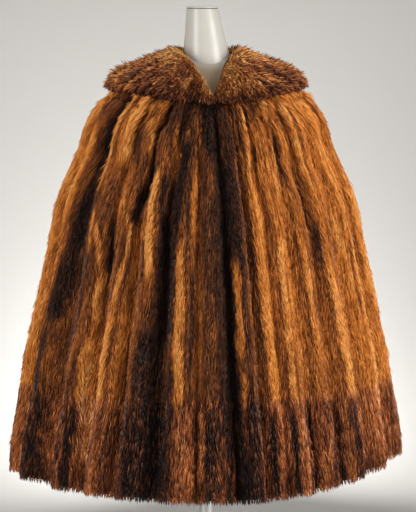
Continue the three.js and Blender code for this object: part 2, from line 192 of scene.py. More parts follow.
BODY_STREAKS = streaks(
    # the right front, from the opening to the arm; the black stripe at place 0, like the one at place 25,
    # is painted shadow in the opening between the fronts
    (0, 3.2, 0, 12.6, 0.15, 0), (0.5, 3.3, 0.5, 7.6, 0.35, 0.2), (0.1, 7.6, 0.1, 10.1, 0.38, 0, -3),
    (0.95, 3.6, 1.15, 6.6, 0.1, 0.56, 2), (0.85, 8.2, 0.88, 10.2, 0.2, 0.4),
    (0.3, 9.8, 0.26, 12.2, 0.1, 0.64, 3), (0.27, 12, 0.36, 12.8, 0.1, 0.7, 3),
    (0.6, 10.2, 0.6, 12.6, 0.1, 0.32, -1), (1.1, 9.8, 1.1, 12.6, 0.2, 0.5),
    (1.5, 3.4, 1.42, 7.5, 0.12, 0.24, -1), (1.75, 8.2, 1.85, 12.6, 0.3, 0.82, 1.5),
    (1.9, 3.2, 1.86, 6.4, 0.09, 0.94, 3), (1.84, 6.2, 1.6, 8.6, 0.1, 0.9, 3),
    (2.15, 3.4, 2.1, 5.5, 0.12, 0.28, -2), (2.35, 5.6, 2.45, 8.4, 0.25, 0.7),
    (2.12, 7, 2.08, 8.2, 0.06, 0.1, -3), (2.6, 3.2, 2.65, 5, 0.2, 0.2, -2),
    (2.1, 10, 2.05, 12.4, 0.1, 0.58, -1), (2.55, 9.4, 2.42, 12.7, 0.11, 0.88, 2),
    (3.25, 6.4, 3.35, 8.7, 0.14, 0.2, -4), (3.4, 3.2, 3.07, 6.9, 0.1, 0.88, 3),
    (3.07, 6.7, 2.95, 8.8, 0.12, 0.84, 2), (3.05, 8.6, 3.1, 9.9, 0.12, 0.74, 1.5),
    (3.32, 9.6, 3.27, 12.5, 0.1, 0.56, -1), (3.6, 9.4, 3.62, 12.3, 0.13, 0.8, 1.5),
    (3.75, 4.8, 3.85, 7.2, 0.12, 0.5, -1), (4, 8, 3.95, 9.6, 0.08, 0.2, -4),
    (4.22, 9.1, 4.25, 10.5, 0.14, 0.3, -2), (4.36, 4.2, 4.27, 7, 0.12, 0.97, 3.5),
    (4.27, 6.8, 4.38, 8.9, 0.12, 0.9, 3), (4.6, 5.4, 4.58, 8.2, 0.06, 0.42, -1.5),
    (4.22, 10.4, 4.22, 12.4, 0.14, 0.7), (3.98, 10.2, 4, 12.5, 0.18, 0.72),
    (4.45, 10, 4.62, 12.7, 0.14, 0.88, 2.5), (5.25, 3.3, 5.35, 7.6, 0.32, 0.78, 1),
    (5.2, 7.8, 5.25, 9, 0.1, 0.6, -1), (5.1, 8.8, 5.2, 10.3, 0.14, 0.86, 1.5),
    (5.5, 9.9, 5.5, 11.5, 0.1, 0.58, -2), (5.85, 9.4, 5.75, 12.7, 0.2, 0.88, 2.5),
    # the right side
    (6.3, 4, 6.3, 9.5, 0.3, 0.76, 1), (6.2, 5.6, 6.25, 7.4, 0.08, 0.45, -2),
    (6.4, 8.6, 6.6, 11.6, 0.2, 0.82, 1.5), (7.7, 4.8, 7.9, 8.8, 0.9, 0.76, 6),
    (6.95, 3.6, 7, 8, 0.12, 0.84, 2.5), (7.3, 7.6, 7.2, 12.5, 0.16, 0.8, 2),
    (7.9, 4.5, 8, 10.5, 0.14, 0.08, -4), (8.45, 3.6, 8.4, 9.2, 0.13, 0.9, 3),
    (8.7, 8.4, 8.6, 12.6, 0.14, 0.8, 2), (9, 5.6, 9.05, 7.8, 0.13, 0.04, -5),
    (9.42, 3.6, 9.5, 12.5, 0.12, 0.74, 2), (9.95, 4, 10, 12.6, 0.13, 0.04, -4),
    # the back
    (10.4, 3.6, 10.35, 8.2, 0.12, 0.92, 3), (10.6, 8, 10.5, 12.5, 0.16, 0.84, 2),
    (10.95, 6, 11, 8.6, 0.15, 0.05, -5), (11.4, 4, 11.55, 12.5, 0.14, 0.72, 2),
    (12, 4, 12, 12.6, 0.14, 0.02, -4), (12.45, 3.6, 12.4, 12.5, 0.14, 0.88, 3),
    (12.75, 8.6, 12.8, 10.8, 0.1, 0.3, -2), (13, 4.5, 13.05, 9, 0.1, 0.1, -4),
    (13.4, 3.8, 13.5, 9.4, 0.13, 0.86, 2.5), (13.6, 9.2, 13.5, 12.5, 0.15, 0.8, 2),
    (14, 4.2, 14, 12.6, 0.12, 0.06, -4), (14.5, 3.8, 14.4, 12.5, 0.14, 0.88, 3),
    (14.85, 7.2, 14.9, 9.4, 0.13, 0.04, -5), (15.4, 4.2, 15.5, 12.4, 0.14, 0.66, 2),
    (16, 4, 16, 12.6, 0.14, 0.02, -4),
    # the left side
    (16.45, 3.8, 16.4, 12.5, 0.14, 0.88, 3), (16.8, 8.4, 16.8, 10.4, 0.12, 0.1, -3),
    (17.1, 4.4, 17, 9.5, 0.12, 0.08, -4), (17.5, 4, 17.5, 12.5, 0.14, 0.76, 2.5),
    (18, 4.5, 18, 11, 0.1, 0.2, -3), (18.45, 4, 18.4, 12.7, 0.4, 0.82, 1),
    # the left arm
    (19.2, 7, 19.2, 10.5, 0.25, 0.66), (19.55, 3.6, 19.5, 7, 0.26, 0.34),
    (19.45, 7, 19.4, 9.6, 0.16, 0.78, 1.5), (19.95, 3.3, 19.95, 8.6, 0.14, 0, -3),
    (19.95, 8.3, 19.8, 10.2, 0.16, 0.02, -3), (19.8, 9.8, 19.5, 11.6, 0.24, 0.06, -2),
    (19.5, 11.3, 19.34, 12.8, 0.22, 0.08, -2), (20.12, 3.6, 20.2, 9, 0.08, 0.88, 2.5),
    (20.3, 8.8, 20.42, 10.4, 0.07, 0.84, 2), (20.5, 3.9, 20.75, 8.3, 0.22, 0.86, 1.5),
    (20.38, 3.2, 20.34, 5.3, 0.05, 0.4, -2), (20.78, 3.3, 20.88, 6.3, 0.09, 0.3, -2),
    (20.62, 8.2, 20.72, 9.5, 0.1, 0.36, -1), (20.95, 7.8, 21.12, 9.4, 0.09, 0.7, 1),
    (20.3, 9.6, 20.3, 11.8, 0.25, 0.3, -1), (20.4, 9.2, 20.8, 10.4, 0.07, 0.9, 2.5),
    (20.8, 10.1, 20.78, 11.6, 0.09, 0.84, 2), (20.8, 11.3, 20.78, 12.8, 0.18, 0.84, 2),
    (20.88, 9, 20.95, 10.6, 0.09, 0, -4), (20.35, 12, 20.3, 12.7, 0.2, 0.46),
    # the left chest, with its deep pockets between the gathers, dented and filled with painted shade
    (21.18, 6.4, 21.32, 8.3, 0.18, 0.24, -1), (20.98, 3.6, 21.2, 5.9, 0.09, 0.92, 3),
    (21.22, 5.7, 21.85, 7.7, 0.1, 0.9, 3), (21.58, 3.4, 21.6, 5.2, 0.2, 0.62, 1),
    (21.98, 5.8, 22, 8.2, 0.08, 0, -4), (21.65, 7.6, 21.7, 8.7, 0.2, 0.34, -1),
    (22.1, 7.7, 22, 9, 0.2, 0, -7), (21.82, 8.3, 21.68, 9.5, 0.17, 0, -6),
    (21.05, 8.6, 21.55, 9.5, 0.07, 0.84, 2), (22.1, 9, 21.85, 10.7, 0.24, 0.68, 2),
    (21.57, 9.2, 21.63, 10.1, 0.07, 0.88, 2), (21.62, 9.8, 21.3, 11.1, 0.1, 0.88, 2),
    (21.3, 10.9, 21.28, 12.8, 0.13, 0.86, 2), (21.02, 10.8, 21.05, 12.4, 0.06, 0.44, -1),
    (21.8, 10.8, 21.85, 12.8, 0.22, 0.62), (22.02, 11.2, 22, 12.6, 0.05, 0.14, -2),
    (22.15, 3.2, 22.1, 5.7, 0.14, 0, -3), (22.5, 3.4, 22.45, 6.4, 0.2, 0.2),
    (22.72, 5.8, 23.2, 7.8, 0.07, 0.76, 2.5), (22.95, 6.4, 22.95, 8.5, 0.15, 0.68, 1),
    (22.28, 6.5, 22.28, 8, 0.14, 0.38), (22.62, 8, 22.7, 9.2, 0.06, 0.02, -3),
    (22.3, 8, 22.55, 10.6, 0.12, 0.95, 3), (22.3, 10.7, 22.3, 12.8, 0.2, 0.46),
    (22.85, 8.8, 22.88, 10.4, 0.16, 0, -6), (22.99, 9.4, 22.98, 11.8, 0.2, 0, -6),
    (22.7, 11.2, 22.7, 12.7, 0.26, 0.02, -5), (23.16, 11.6, 23.2, 12.7, 0.12, 0.16, -1),
    # the left front, down to the opening
    (23.25, 3.3, 23.1, 5.2, 0.16, 0.16), (23.35, 5.8, 23.4, 7, 0.1, 0.62, 1.5),
    (23.4, 6.8, 23.22, 9.6, 0.13, 0.02, -4), (23.85, 7.8, 23.9, 9.9, 0.2, 0.55, 2),
    (23.38, 9.5, 23.43, 12.9, 0.1, 0.82, 3), (23.8, 10, 23.75, 12.5, 0.07, 0.16, -1.5),
    (24.05, 9.8, 24.05, 12.6, 0.2, 0.52), (24.35, 3.2, 24.6, 7.7, 0.26, 0.02, -3),
    (24.05, 4.8, 24.1, 7.4, 0.08, 0.54, 2), (24.45, 8.2, 24.45, 12.6, 0.16, 0.36, 1),
    (24.72, 8.4, 24.75, 12.5, 0.13, 0.15), (25, 3.2, 25, 12.6, 0.24, 0),
)
BORDER_STREAKS = streaks(
    # the right front
    (0.15, 12.3, 0.2, 15.4, 0.26, 0, -2), (0.55, 12.6, 0.6, 15.3, 0.24, 0.12),
    (0.85, 12.8, 0.8, 15.2, 0.05, 0.42), (1.1, 12.9, 1.1, 15.2, 0.06, 0.4),
    (1.4, 12.6, 1.45, 15.4, 0.12, 0.08, -1), (1.95, 12.3, 1.92, 14.6, 0.28, 0.62, 1.5),
    (1.95, 14.2, 1.92, 15.5, 0.3, 0.34), (2.35, 12.6, 2.3, 15.4, 0.09, 0.07, -1.5),
    (2.65, 12.6, 2.7, 15.2, 0.1, 0.52, 1), (2.86, 12.7, 2.86, 15.3, 0.06, 0.18),
    (3.07, 12.4, 3.06, 15.5, 0.06, 0, -4), (3.4, 12.4, 3.4, 15.4, 0.2, 0.46),
    (3.75, 12.7, 3.75, 15.4, 0.1, 0.3), (4.1, 12.7, 4.1, 15.4, 0.08, 0.1),
    (4.25, 12.7, 4.25, 15.4, 0.07, 0.48), (4.58, 12.5, 4.62, 15.5, 0.2, 0.15, -1),
    (5.4, 12.2, 5.4, 14.8, 0.5, 0.64, 1), (5.4, 14.2, 5.4, 15.5, 0.5, 0.4),
    # the right side, the back and the left side
    (6.3, 12.4, 6.3, 15.4, 0.3, 0.42), (7.1, 12.4, 7.1, 15.4, 0.3, 0.5, 1),
    (7.6, 12.4, 7.65, 15.4, 0.2, 0.1, -1), (8.4, 12.4, 8.4, 14.8, 0.25, 0.6, 1),
    (9, 12.5, 9, 15.5, 0.14, 0.02, -3), (9.6, 12.6, 9.6, 15.2, 0.2, 0.4),
    (10.5, 12.4, 10.45, 14.6, 0.25, 0.62, 1), (11, 12.5, 11, 15.4, 0.3, 0.06, -2),
    (11.6, 12.6, 11.6, 15.2, 0.12, 0.46), (12.1, 12.4, 12.1, 15.5, 0.22, 0, -2),
    (12.6, 12.4, 12.6, 15.2, 0.2, 0.5, 1), (13.3, 12.5, 13.3, 15.4, 0.1, 0.2),
    (13.6, 12.4, 13.6, 14.6, 0.2, 0.58, 1), (14.1, 12.5, 14.1, 15.5, 0.16, 0.02, -2),
    (14.6, 12.4, 14.6, 15.2, 0.24, 0.48), (15.2, 12.4, 15.2, 15.4, 0.3, 0.12),
    (16, 12.4, 16, 15.5, 0.2, 0, -2), (16.5, 12.4, 16.5, 14.6, 0.22, 0.6, 1),
    (17.1, 12.5, 17.1, 15.4, 0.2, 0.14), (17.7, 12.4, 17.7, 15.2, 0.16, 0.5),
    # the left front
    (18.5, 12.3, 18.5, 14.4, 0.35, 0.54), (19.4, 12.4, 19.4, 15.5, 0.36, 0.04, -1),
    (19.95, 12.3, 19.95, 14.8, 0.16, 0.56, 1), (20.4, 12.8, 20.4, 15.4, 0.2, 0.14),
    (20.45, 12.8, 20.42, 15.2, 0.05, 0.5), (20.68, 12.5, 20.66, 15.5, 0.07, 0.02, -2),
    (20.9, 12.3, 20.85, 14.5, 0.2, 0.7, 1.5), (21, 14, 21, 15.5, 0.12, 0.36),
    (21.3, 12.7, 21.3, 15.3, 0.14, 0.46), (21.7, 12.6, 21.65, 15.4, 0.12, 0.34),
    (21.92, 13.8, 21.95, 15.4, 0.08, 0.48), (22.15, 12.5, 22.1, 15.4, 0.12, 0.2),
    (22.8, 12.3, 22.75, 15.6, 0.45, 0, -2), (23.25, 12.5, 23.2, 15.5, 0.14, 0.03),
    (23.6, 12.3, 23.6, 15.4, 0.22, 0.48, 1), (23.9, 13.2, 23.95, 15.4, 0.1, 0.34),
    (24.2, 12.3, 24.2, 14.6, 0.1, 0.6, 1.5), (24.5, 12.5, 24.5, 15.4, 0.16, 0.1),
    (24.75, 12.9, 24.7, 15.4, 0.1, 0.22), (24.93, 13.6, 24.95, 15.4, 0.05, 0.46),
)
OPENING = (0.0, 1.5, 2.5)
HOLLOW_WIDTH = 1.5
FOLD_GROWTH = 0.8
FOLD_COUNT = len(FOLDS)


def smooth_table(table: Array, row: Array) -> Array:
    """Read a table between its rows, on a smooth curve through them.

    Args:
        table: One row for each section, of any further shape.
        row: Row numbers that need not be whole.

    Returns:
        The values at those rows, with row's shape before the table's own.
    """
    row = np.asarray(row, float)
    below = np.clip(np.floor(row).astype(int), 0, len(table) - 2)
    share = (row - below).reshape(row.shape + (1,) * (table.ndim - 1))
    a, b, c, d = (table[np.clip(below + step, 0, len(table) - 1)] for step in (-1, 0, 1, 2))
    bend = 2 * a - 5 * b + 4 * c - d + share * (3 * (b - c) + d - a)
    return b + 0.5 * share * (c - a + share * bend)


def section_points(numbers: Array, degrees: Array) -> Array:
    """Return points of sections in metres.

    Args:
        numbers: The sections' sizes, as Section.numbers gives them, in the last axis.
        degrees: Angles from centre front.
    """
    side, side_up, front, front_up, back, back_up = np.moveaxis(numbers, -1, 0)
    turn = np.radians(degrees)
    ahead = np.cos(turn)
    depth = np.where(ahead > 0, front, back)
    end_up = np.where(ahead > 0, front_up, back_up)
    height = side_up + (end_up - side_up) * ahead**2
    return np.stack([side * np.sin(turn), -depth * ahead, height], axis=-1) * MM


def unit(vectors: Array) -> Array:
    """Return the vectors at length 1."""
    return vectors / np.maximum(np.linalg.norm(vectors, axis=-1, keepdims=True), 1e-12)


def eased(share: Array) -> Array:
    """Return a share from 0 to 1 with a slow start and a slow end."""
    return share * share * (3 - 2 * share)


def chance(i: Array, j: Array, seed: float) -> Array:
    """Return a number from 0 to 1 for each cell, always the same for the same cell."""
    value = np.sin(np.asarray(i) * 127.1 + np.asarray(j) * 311.7 + seed * 74.7) * 43758.5453
    return value - np.floor(value)


def soft_noise(x: Array, y: Array, seed: float) -> Array:
    """Return smooth noise from -1 to 1, with one bump to each unit of x and y."""
    left, low = np.floor(x), np.floor(y)
    across, up = eased(x - left), eased(y - low)
    bottom = chance(left, low, seed) * (1 - across) + chance(left + 1, low, seed) * across
    top = chance(left, low + 1, seed) * (1 - across) + chance(left + 1, low + 1, seed) * across
    return 2 * (bottom * (1 - up) + top * up) - 1


def ridges(x: Array, y: Array, seed: float) -> Array:
    """Return narrow ridges from -1 between them to 1 along them."""
    return np.maximum(1 - 3.2 * np.abs(soft_noise(x, y, seed)), -1)


class Drape:
    """The cape's smooth inner surface and the folds that lift the cloth off it."""

    neck_row = 0.1
    v_depth = 2.3
    v_spread = 15.5
    collar_stand = 0.4
    edge_front, edge_side, edge_back, edge_power = 3.0, 5.4, 5.6, 2.4
    slope_step = 0.05

    def __init__(self) -> None:
        """Put the tables into arrays."""
        self.sections = np.array([section.numbers() for section in SECTIONS], float)
        self.lines = np.array([(fold.top, fold.middle, fold.hem) for fold in FOLDS], float)
        columns = zip(*((fold.rise, fold.valley, fold.crest, fold.hollow) for fold in FOLDS))
        arrays = [np.array(column, float) for column in columns]
        self.rises, self.valleys, self.crests, self.hollows = arrays
        between = (self.lines[:-1] + self.lines[1:]) / 2
        opening = np.array([OPENING])
        self.hollow_lines = np.concatenate([opening, between, opening + 360])

    def point(self, row: Array, degrees: Array) -> Array:
        """Return points of the smooth inner surface."""
        points = section_points(smooth_table(self.sections, row), degrees)
        to_right = np.maximum(np.sin(np.radians(degrees)), 0)
        lower = np.maximum((row - LIFT_ROW) / (HEM_ROW - LIFT_ROW), 0)
        points[..., 2] += RIGHT_HEM_LIFT * MM * to_right**2 * lower**2
        return points

    def outwards(self, row: Array, degrees: Array) -> Array:
        """Return the directions out of the smooth inner surface."""
        step = self.slope_step
        down = self.point(row + step, degrees) - self.point(row - step, degrees)
        around = self.point(row, degrees + step) - self.point(row, degrees - step)
        return unit(np.cross(down, around))

    def raised(self, row: Array, degrees: Array, millimetres: Array) -> Array:
        """Return points a distance out of the smooth inner surface."""
        height = np.asarray(millimetres, float)[..., None] * MM
        return self.point(row, degrees) + self.outwards(row, degrees) * height

    def neckline(self, degrees: Array) -> Array:
        """Return the row of the neckline, a V at the front."""
        return self.neck_row + self.v_depth * np.exp(-self.from_front(degrees) / self.v_spread)

    def collar_edge(self, degrees: Array) -> Array:
        """Return the row of the collar's outer edge."""
        away = np.abs(np.sin(np.radians(degrees))) ** self.edge_power
        end = np.where(self.from_front(degrees) < 90, self.edge_front, self.edge_back)
        return end + (self.edge_side - end) * away

    @staticmethod
    def from_front(degrees: Array) -> Array:
        """Return how far angles are from centre front, up to 180 degrees."""
        turned = np.mod(degrees, 360)
        return np.minimum(turned, 360 - turned)

    def down_share(self, row: Array, degrees: Array) -> Array:
        """Return 0 at the collar's edge and 1 at the hem."""
        edge = self.collar_edge(degrees)
        return np.clip((row - edge) / (HEM_ROW - edge), 0, 1)

    @staticmethod
    def along(lines: Array, share: Array) -> Array:
        """Return where fold lines pass, from their top, middle and hem angles."""
        at_top = 2 * (share - 0.5) * (share - 1)
        at_middle = -4 * share * (share - 1)
        at_hem = 2 * share * (share - 0.5)
        return lines[..., 0] * at_top + lines[..., 1] * at_middle + lines[..., 2] * at_hem

    def at_top(self, place: Array) -> Array:
        """Return the angles where places begin, at the collar."""
        return self.degrees_at(place, np.zeros_like(place))

    def degrees_at(self, place: Array, share: Array) -> Array:
        """Return angles for places, where a whole place is the hollow before that fold."""
        index = np.clip(np.floor(place).astype(int), 0, FOLD_COUNT - 1)
        part = place - index
        before = self.along(self.hollow_lines[index], share)
        crest = self.along(self.lines[index], share)
        after = self.along(self.hollow_lines[index + 1], share)
        rising = before + (crest - before) * part * 2
        falling = crest + (after - crest) * (part * 2 - 1)
        return np.where(part < 0.5, rising, falling)

    @staticmethod
    def hollowness(place: Array) -> Array:
        """Return 1 in the hollows and 0 on the crests."""
        return ((1 + np.cos(2 * np.pi * place)) / 2) ** HOLLOW_WIDTH

    def neighbours(self, place: Array) -> tuple[Array, Array, Array]:
        """Return each place's fold, the next fold that way and the fold that owns the hollow."""
        index = np.clip(np.floor(place).astype(int), 0, FOLD_COUNT - 1)
        before_crest = place - index < 0.5
        neighbour = np.mod(np.where(before_crest, index - 1, index + 1), FOLD_COUNT)
        return index, neighbour, np.where(before_crest, neighbour, index)

    def lift(self, place: Array, share: Array) -> Array:
        """Return how far the folds lift the cloth, in millimetres."""
        index, neighbour, owner = self.neighbours(place)
        rise = self.rises[index]
        floor = self.valleys[owner] * (rise + self.rises[neighbour]) / 2
        depth = self.hollowness(place)
        growth = np.sin(share * np.pi / 2) ** FOLD_GROWTH
        return growth * (rise * (1 - depth) + floor * depth)

    def shades(self, place: Array, share: Array) -> tuple[Array, Array]:
        """Return how golden the body's fur and the border's are, from the folds' own tables: darker in the
        hollows, partly as painted shade.
        """
        index, _, owner = self.neighbours(place)
        depth = self.hollowness(place) ** 0.8
        crest = smooth_read(self.crests[index], share * 2)
        hollow = smooth_read(self.hollows[owner], share * 2)
        border = self.crests[index, 3] * (1 - depth) + self.hollows[owner, 3] * depth
        return crest * (1 - depth) + hollow * depth, border


def smooth_read(tones: Array, stations: Array) -> Array:
    """Read each place's tone of the body's fur at its station from 0 to 2."""
    low = np.clip(np.floor(stations).astype(int), 0, 1)
    part = eased(stations - low)
    rows = np.arange(len(tones))
    return tones[rows, low] * (1 - part) + tones[rows, low + 1] * part


class Cloth:
    """A stretch of the cape as a surface with u across it and v down it, both from 0 to 1."""

    covered = 0.2
    border_from = 12.4
    border_to = 13.05
    flow_step = 0.1
    flow_angle = 0.24
    skin_height = 3.4
    crimp = 1.1
    gather = 4.0
    hem_pile, hem_pile_from = 0.38, 0.7

    def __init__(self, drape: Drape, first: float, last: float, start: float, end: float) -> None:
        """Keep the stretch: its places from first to last, its rows from start to end.

        Args:
            drape: The cape's surface.
            first: The place of the first side.
            last: The place of the last side.
            start: The row of the upper edge, or less than 0 for the neckline under the collar.
            end: The row of the lower edge.
        """
        self.drape, self.first, self.last, self.start, self.end = drape, first, last, start, end
        self.body_streaks = [streak for streak in BODY_STREAKS if self.reaches(streak)]
        self.border_streaks = [streak for streak in BORDER_STREAKS if self.reaches(streak)]

    def reaches(self, streak: Streak) -> bool:
        """Say whether a streak comes near this stretch."""
        left, right = sorted((streak.start, streak.end))
        return right + 2 * streak.width > self.first and left - 2 * streak.width < self.last

    def border_share(self, row: Array) -> Array:
        """Return how far the fur has changed from the body's to the border's, from 0 to 1."""
        return eased(np.clip((row - self.border_from) / (self.border_to - self.border_from), 0, 1))

    def creased(self, place: Array, row: Array, body: Array, border: Array) -> tuple[Array, Array]:
        """Return the tone and the height with the streaks laid over it.

        Args:
            place: Where the points are across.
            row: Where they are down.
            body: The tone of the body's fur there without streaks.
            border: The tone of the border's fur there without streaks.
        """
        coarse, fine = soft_noise(place * 5, row * 2.5, 41), soft_noise(place * 11, row * 6, 42)
        place = place + 0.035 * coarse + 0.02 * fine
        share = self.border_share(row + 0.1 * soft_noise(place * 7, row * 4, 43))
        over = self.laid(self.body_streaks, place, np.minimum(row, self.border_from - 0.2), body)
        under = self.laid(self.border_streaks, place, row, border)
        return tuple(high + (low - high) * share for high, low in zip(over, under))

    @staticmethod
    def laid(streaks: list[Streak], place: Array, row: Array, tone: Array) -> tuple[Array, Array]:
        """Return the tone and the height with some streaks laid one after the other, with a painted
        highlight along each raised crease's crest and painted shadow along its flanks.
        """
        height = np.zeros_like(place)
        for streak in streaks:
            long = streak.bottom - streak.top
            middle = streak.start + (streak.end - streak.start) * (row - streak.top) / long
            apart = np.abs((place - middle) / streak.width)
            near = np.exp(-(apart**3))
            fade = min(0.5, 0.35 * long)
            ends = np.clip((row - streak.top) / fade, 0, 1) * np.clip((streak.bottom - row) / fade, 0, 1)
            ends = eased(ends)
            tone = tone + (streak.tone - tone) * near * ends
            height = height + streak.height * near * ends
            # a raised crease gets a painted highlight along its crest and painted shadow along both its
            # flanks
            if streak.height > 1:
                crest = np.exp(-((apart / 0.45) ** 2))
                painted_flank_shadow = np.exp(-(((apart - 1.4) / 0.4) ** 2))
                tone = tone + (0.1 * crest - 0.14 * painted_flank_shadow) * ends
        return tone, height

    def place(self, u: Array) -> Array:
        """Return places on the fold lines."""
        return self.first + (self.last - self.first) * u

    def row(self, u: Array, v: Array) -> Array:
        """Return rows of the sections."""
        if self.start >= 0:
            return self.start + (self.end - self.start) * v
        degrees = self.drape.at_top(self.place(u))
        edge = self.drape.collar_edge(degrees)
        neck = self.drape.neckline(degrees) + self.drape.collar_stand
        under = neck + (edge - neck) * v / self.covered
        below = edge + (self.end - edge) * (v - self.covered) / (1 - self.covered)
        return np.where(v < self.covered, under, below)

    def parts(self, u: Array, v: Array) -> tuple[Array, Array, Array, Array]:
        """Return places, rows, angles and the shares of the way down."""
        place, row = self.place(u), self.row(u, v)
        share = self.drape.down_share(row, self.drape.at_top(place))
        return place, row, self.drape.degrees_at(place, share), share

    @staticmethod
    def grain(place: Array, row: Array) -> Array:
        """Return the fur's wavy ridges, from -1 in their troughs to 1 on them."""
        drift = 0.30 * soft_noise(place * 0.9, row * 0.8, 31) + 0.07 * soft_noise(place * 3, row * 2.4, 34)
        broad = ridges((place + drift) * 2.6, row * 0.42, 32)
        fine = ridges((place + drift) * 6.5, row * 0.8, 33)
        return 0.55 * broad + 0.45 * fine

    def points(self, u: Array, v: Array) -> Array:
        """Return points of the skin's outer side."""
        place, row, degrees, share = self.parts(u, v)
        depth = self.drape.hollowness(place)
        open_share = np.clip(v / self.covered, 0, 1) ** 2 if self.start < 0 else 1.0
        height = self.drape.lift(place, share) + self.skin_height
        height = height + self.gather * (1 - share) ** 3 * (1 - 1.4 * depth) * open_share
        height = height + self.crimp * self.grain(place, row) * (0.55 + 0.45 * share) * open_share
        _, crease = self.creased(place, row, np.zeros_like(place), np.zeros_like(place))
        return self.drape.raised(row, degrees, height + crease * open_share)

    def tone(self, u: Array, v: Array) -> Array:
        """Return how golden the fur is before its own unevenness, with painted light from the grain:
        lighter on its ridges, darker in its troughs.
        """
        place, row, _, share = self.parts(u, v)
        wander = 0.12 * soft_noise(place * 1.3, row * 0.8, 11) + 0.04 * soft_noise(place * 4, row * 2, 12)
        strayed = np.clip(place + wander, 0, FOLD_COUNT - 1e-6)
        body, border = self.drape.shades(strayed, share)
        shade, _ = self.creased(place, row, body, border)
        grain = self.grain(place, row)
        # painted light: the grain's ridges lighter and its troughs darker, as the skin's ripples would be
        # lit
        return shade * (1 + 0.09 * grain) + 0.02 * grain

    def flow(self, u: Array, v: Array) -> Array:
        """Return how far the fur turns aside, in radians: from darker fur to more golden."""
        step = self.flow_step / (self.last - self.first)
        return self.flow_angle * np.tanh(3 * (self.tone(u + step, v) - self.tone(u - step, v)))

    def pile(self, u: Array, v: Array) -> Array:
        """Return how long the fur is, as a share of its coat's length: shorter at the hem."""
        if self.start < 0:
            return np.ones_like(u)
        return 1 - (1 - self.hem_pile) * np.clip((v - self.hem_pile_from) / (1 - self.hem_pile_from), 0, 1)


class Roll:
    """Half of the collar's upper side as a surface: v runs from its inner lip over its edge."""

    gap = 0.8
    pelt = 10.0
    cover = 10.0
    thickness = (11.0, 20.0, 23.0, 24.0, 24.0, 20.0)
    lip = 0.12
    edge = 0.86
    front_trim, front_spread = 0.15, 14.0
    sections = 4.55

    def __init__(self, drape: Drape, first: float, last: float) -> None:
        """Keep the half's places from first to last."""
        self.drape, self.first, self.last = drape, first, last

    def points(self, u: Array, v: Array) -> Array:
        """Return points of the skin's outer side."""
        degrees = self.drape.at_top(self.first + (self.last - self.first) * u)
        neck = self.drape.neckline(degrees)
        edge = self.drape.collar_edge(degrees) - self.front_trim * self.at_front(u)
        over = np.clip((v - self.lip) / (self.edge - self.lip), 0, 1)
        step = over * self.sections
        stand = self.drape.collar_stand
        row = np.where(step < 1, neck + stand * step, neck + stand + (edge - neck - stand) * (step - 1) / 4)
        seat = (self.pelt + self.gap) * np.clip(step, 0, 1)
        table = np.array(self.thickness)[:, None]
        top = seat + smooth_table(table, step)[..., 0] - self.cover
        under = seat + 1.5
        lip = np.clip(v / self.lip, 0, 1)
        fall = np.clip((v - self.edge) / (1 - self.edge), 0, 1)
        height = np.where(v < self.lip, under + (top - under) * np.sin(lip * np.pi / 2), top)
        height = np.where(v > self.edge, top + (under - top) * (1 - np.cos(fall * np.pi / 2)), height)
        row = row + 0.06 * np.sin(fall * np.pi / 2) - 0.05 * (1 - lip)
        lumps = 1.6 * soft_noise(u * 16, v * 5, 21) + 1.2 * soft_noise(u * 34, v * 9, 22)
        return self.drape.raised(row, degrees, height + lumps * np.sin(over * np.pi))

    def tone(self, u: Array, v: Array) -> Array:
        """Return how golden the fur is: most so on the roll at the neck."""
        roll = np.exp(-(((v - 0.22) / 0.16) ** 2))
        patches = 0.17 * soft_noise(u * 14, v * 3, 23) + 0.10 * soft_noise(u * 40, v * 8, 24)
        return 0.58 + 0.23 * roll - 0.34 * np.clip((v - 0.72) * 4, 0, 1) + patches

    def flow(self, u: Array, v: Array) -> Array:
        """Return how far the fur turns aside, in radians."""
        return 0.25 * soft_noise(u * 30, v * 4, 25)

    def at_front(self, u: Array) -> Array:
        """Return 1 at the front ends of the collar and 0 away from them."""
        degrees = self.drape.at_top(self.first + (self.last - self.first) * u)
        return np.exp(-self.drape.from_front(degrees) / self.front_spread)

    def pile(self, u: Array, v: Array) -> Array:
        """Return how long the fur is, as a share of its coat's length: shortest at the neck."""
        along = 0.5 + 0.5 * np.clip((v - 0.1) / 0.3, 0, 1) - 0.35 * np.clip((v - 0.78) / 0.15, 0, 1)
        return along * (1 - 0.5 * self.at_front(u))


Surface = Cloth | Roll


def axes_of(surface: Surface, u: Array, v: Array) -> tuple[Array, Array, Array]:
    """Return the directions across, down and out of a surface, the first two not at length 1."""
    step = 0.002
    left, right = np.clip(u - step, 0, 1), np.clip(u + step, 0, 1)
    high, low = np.clip(v - step, 0, 1), np.clip(v + step, 0, 1)
    across = (surface.points(right, v) - surface.points(left, v)) / (right - left)[:, None]
    down = (surface.points(u, low) - surface.points(u, high)) / (low - high)[:, None]
    return across, down, unit(np.cross(down, across))


Colours = tuple[tuple[float, float, float], ...]
Values = dict[str, float | tuple[float, ...]]


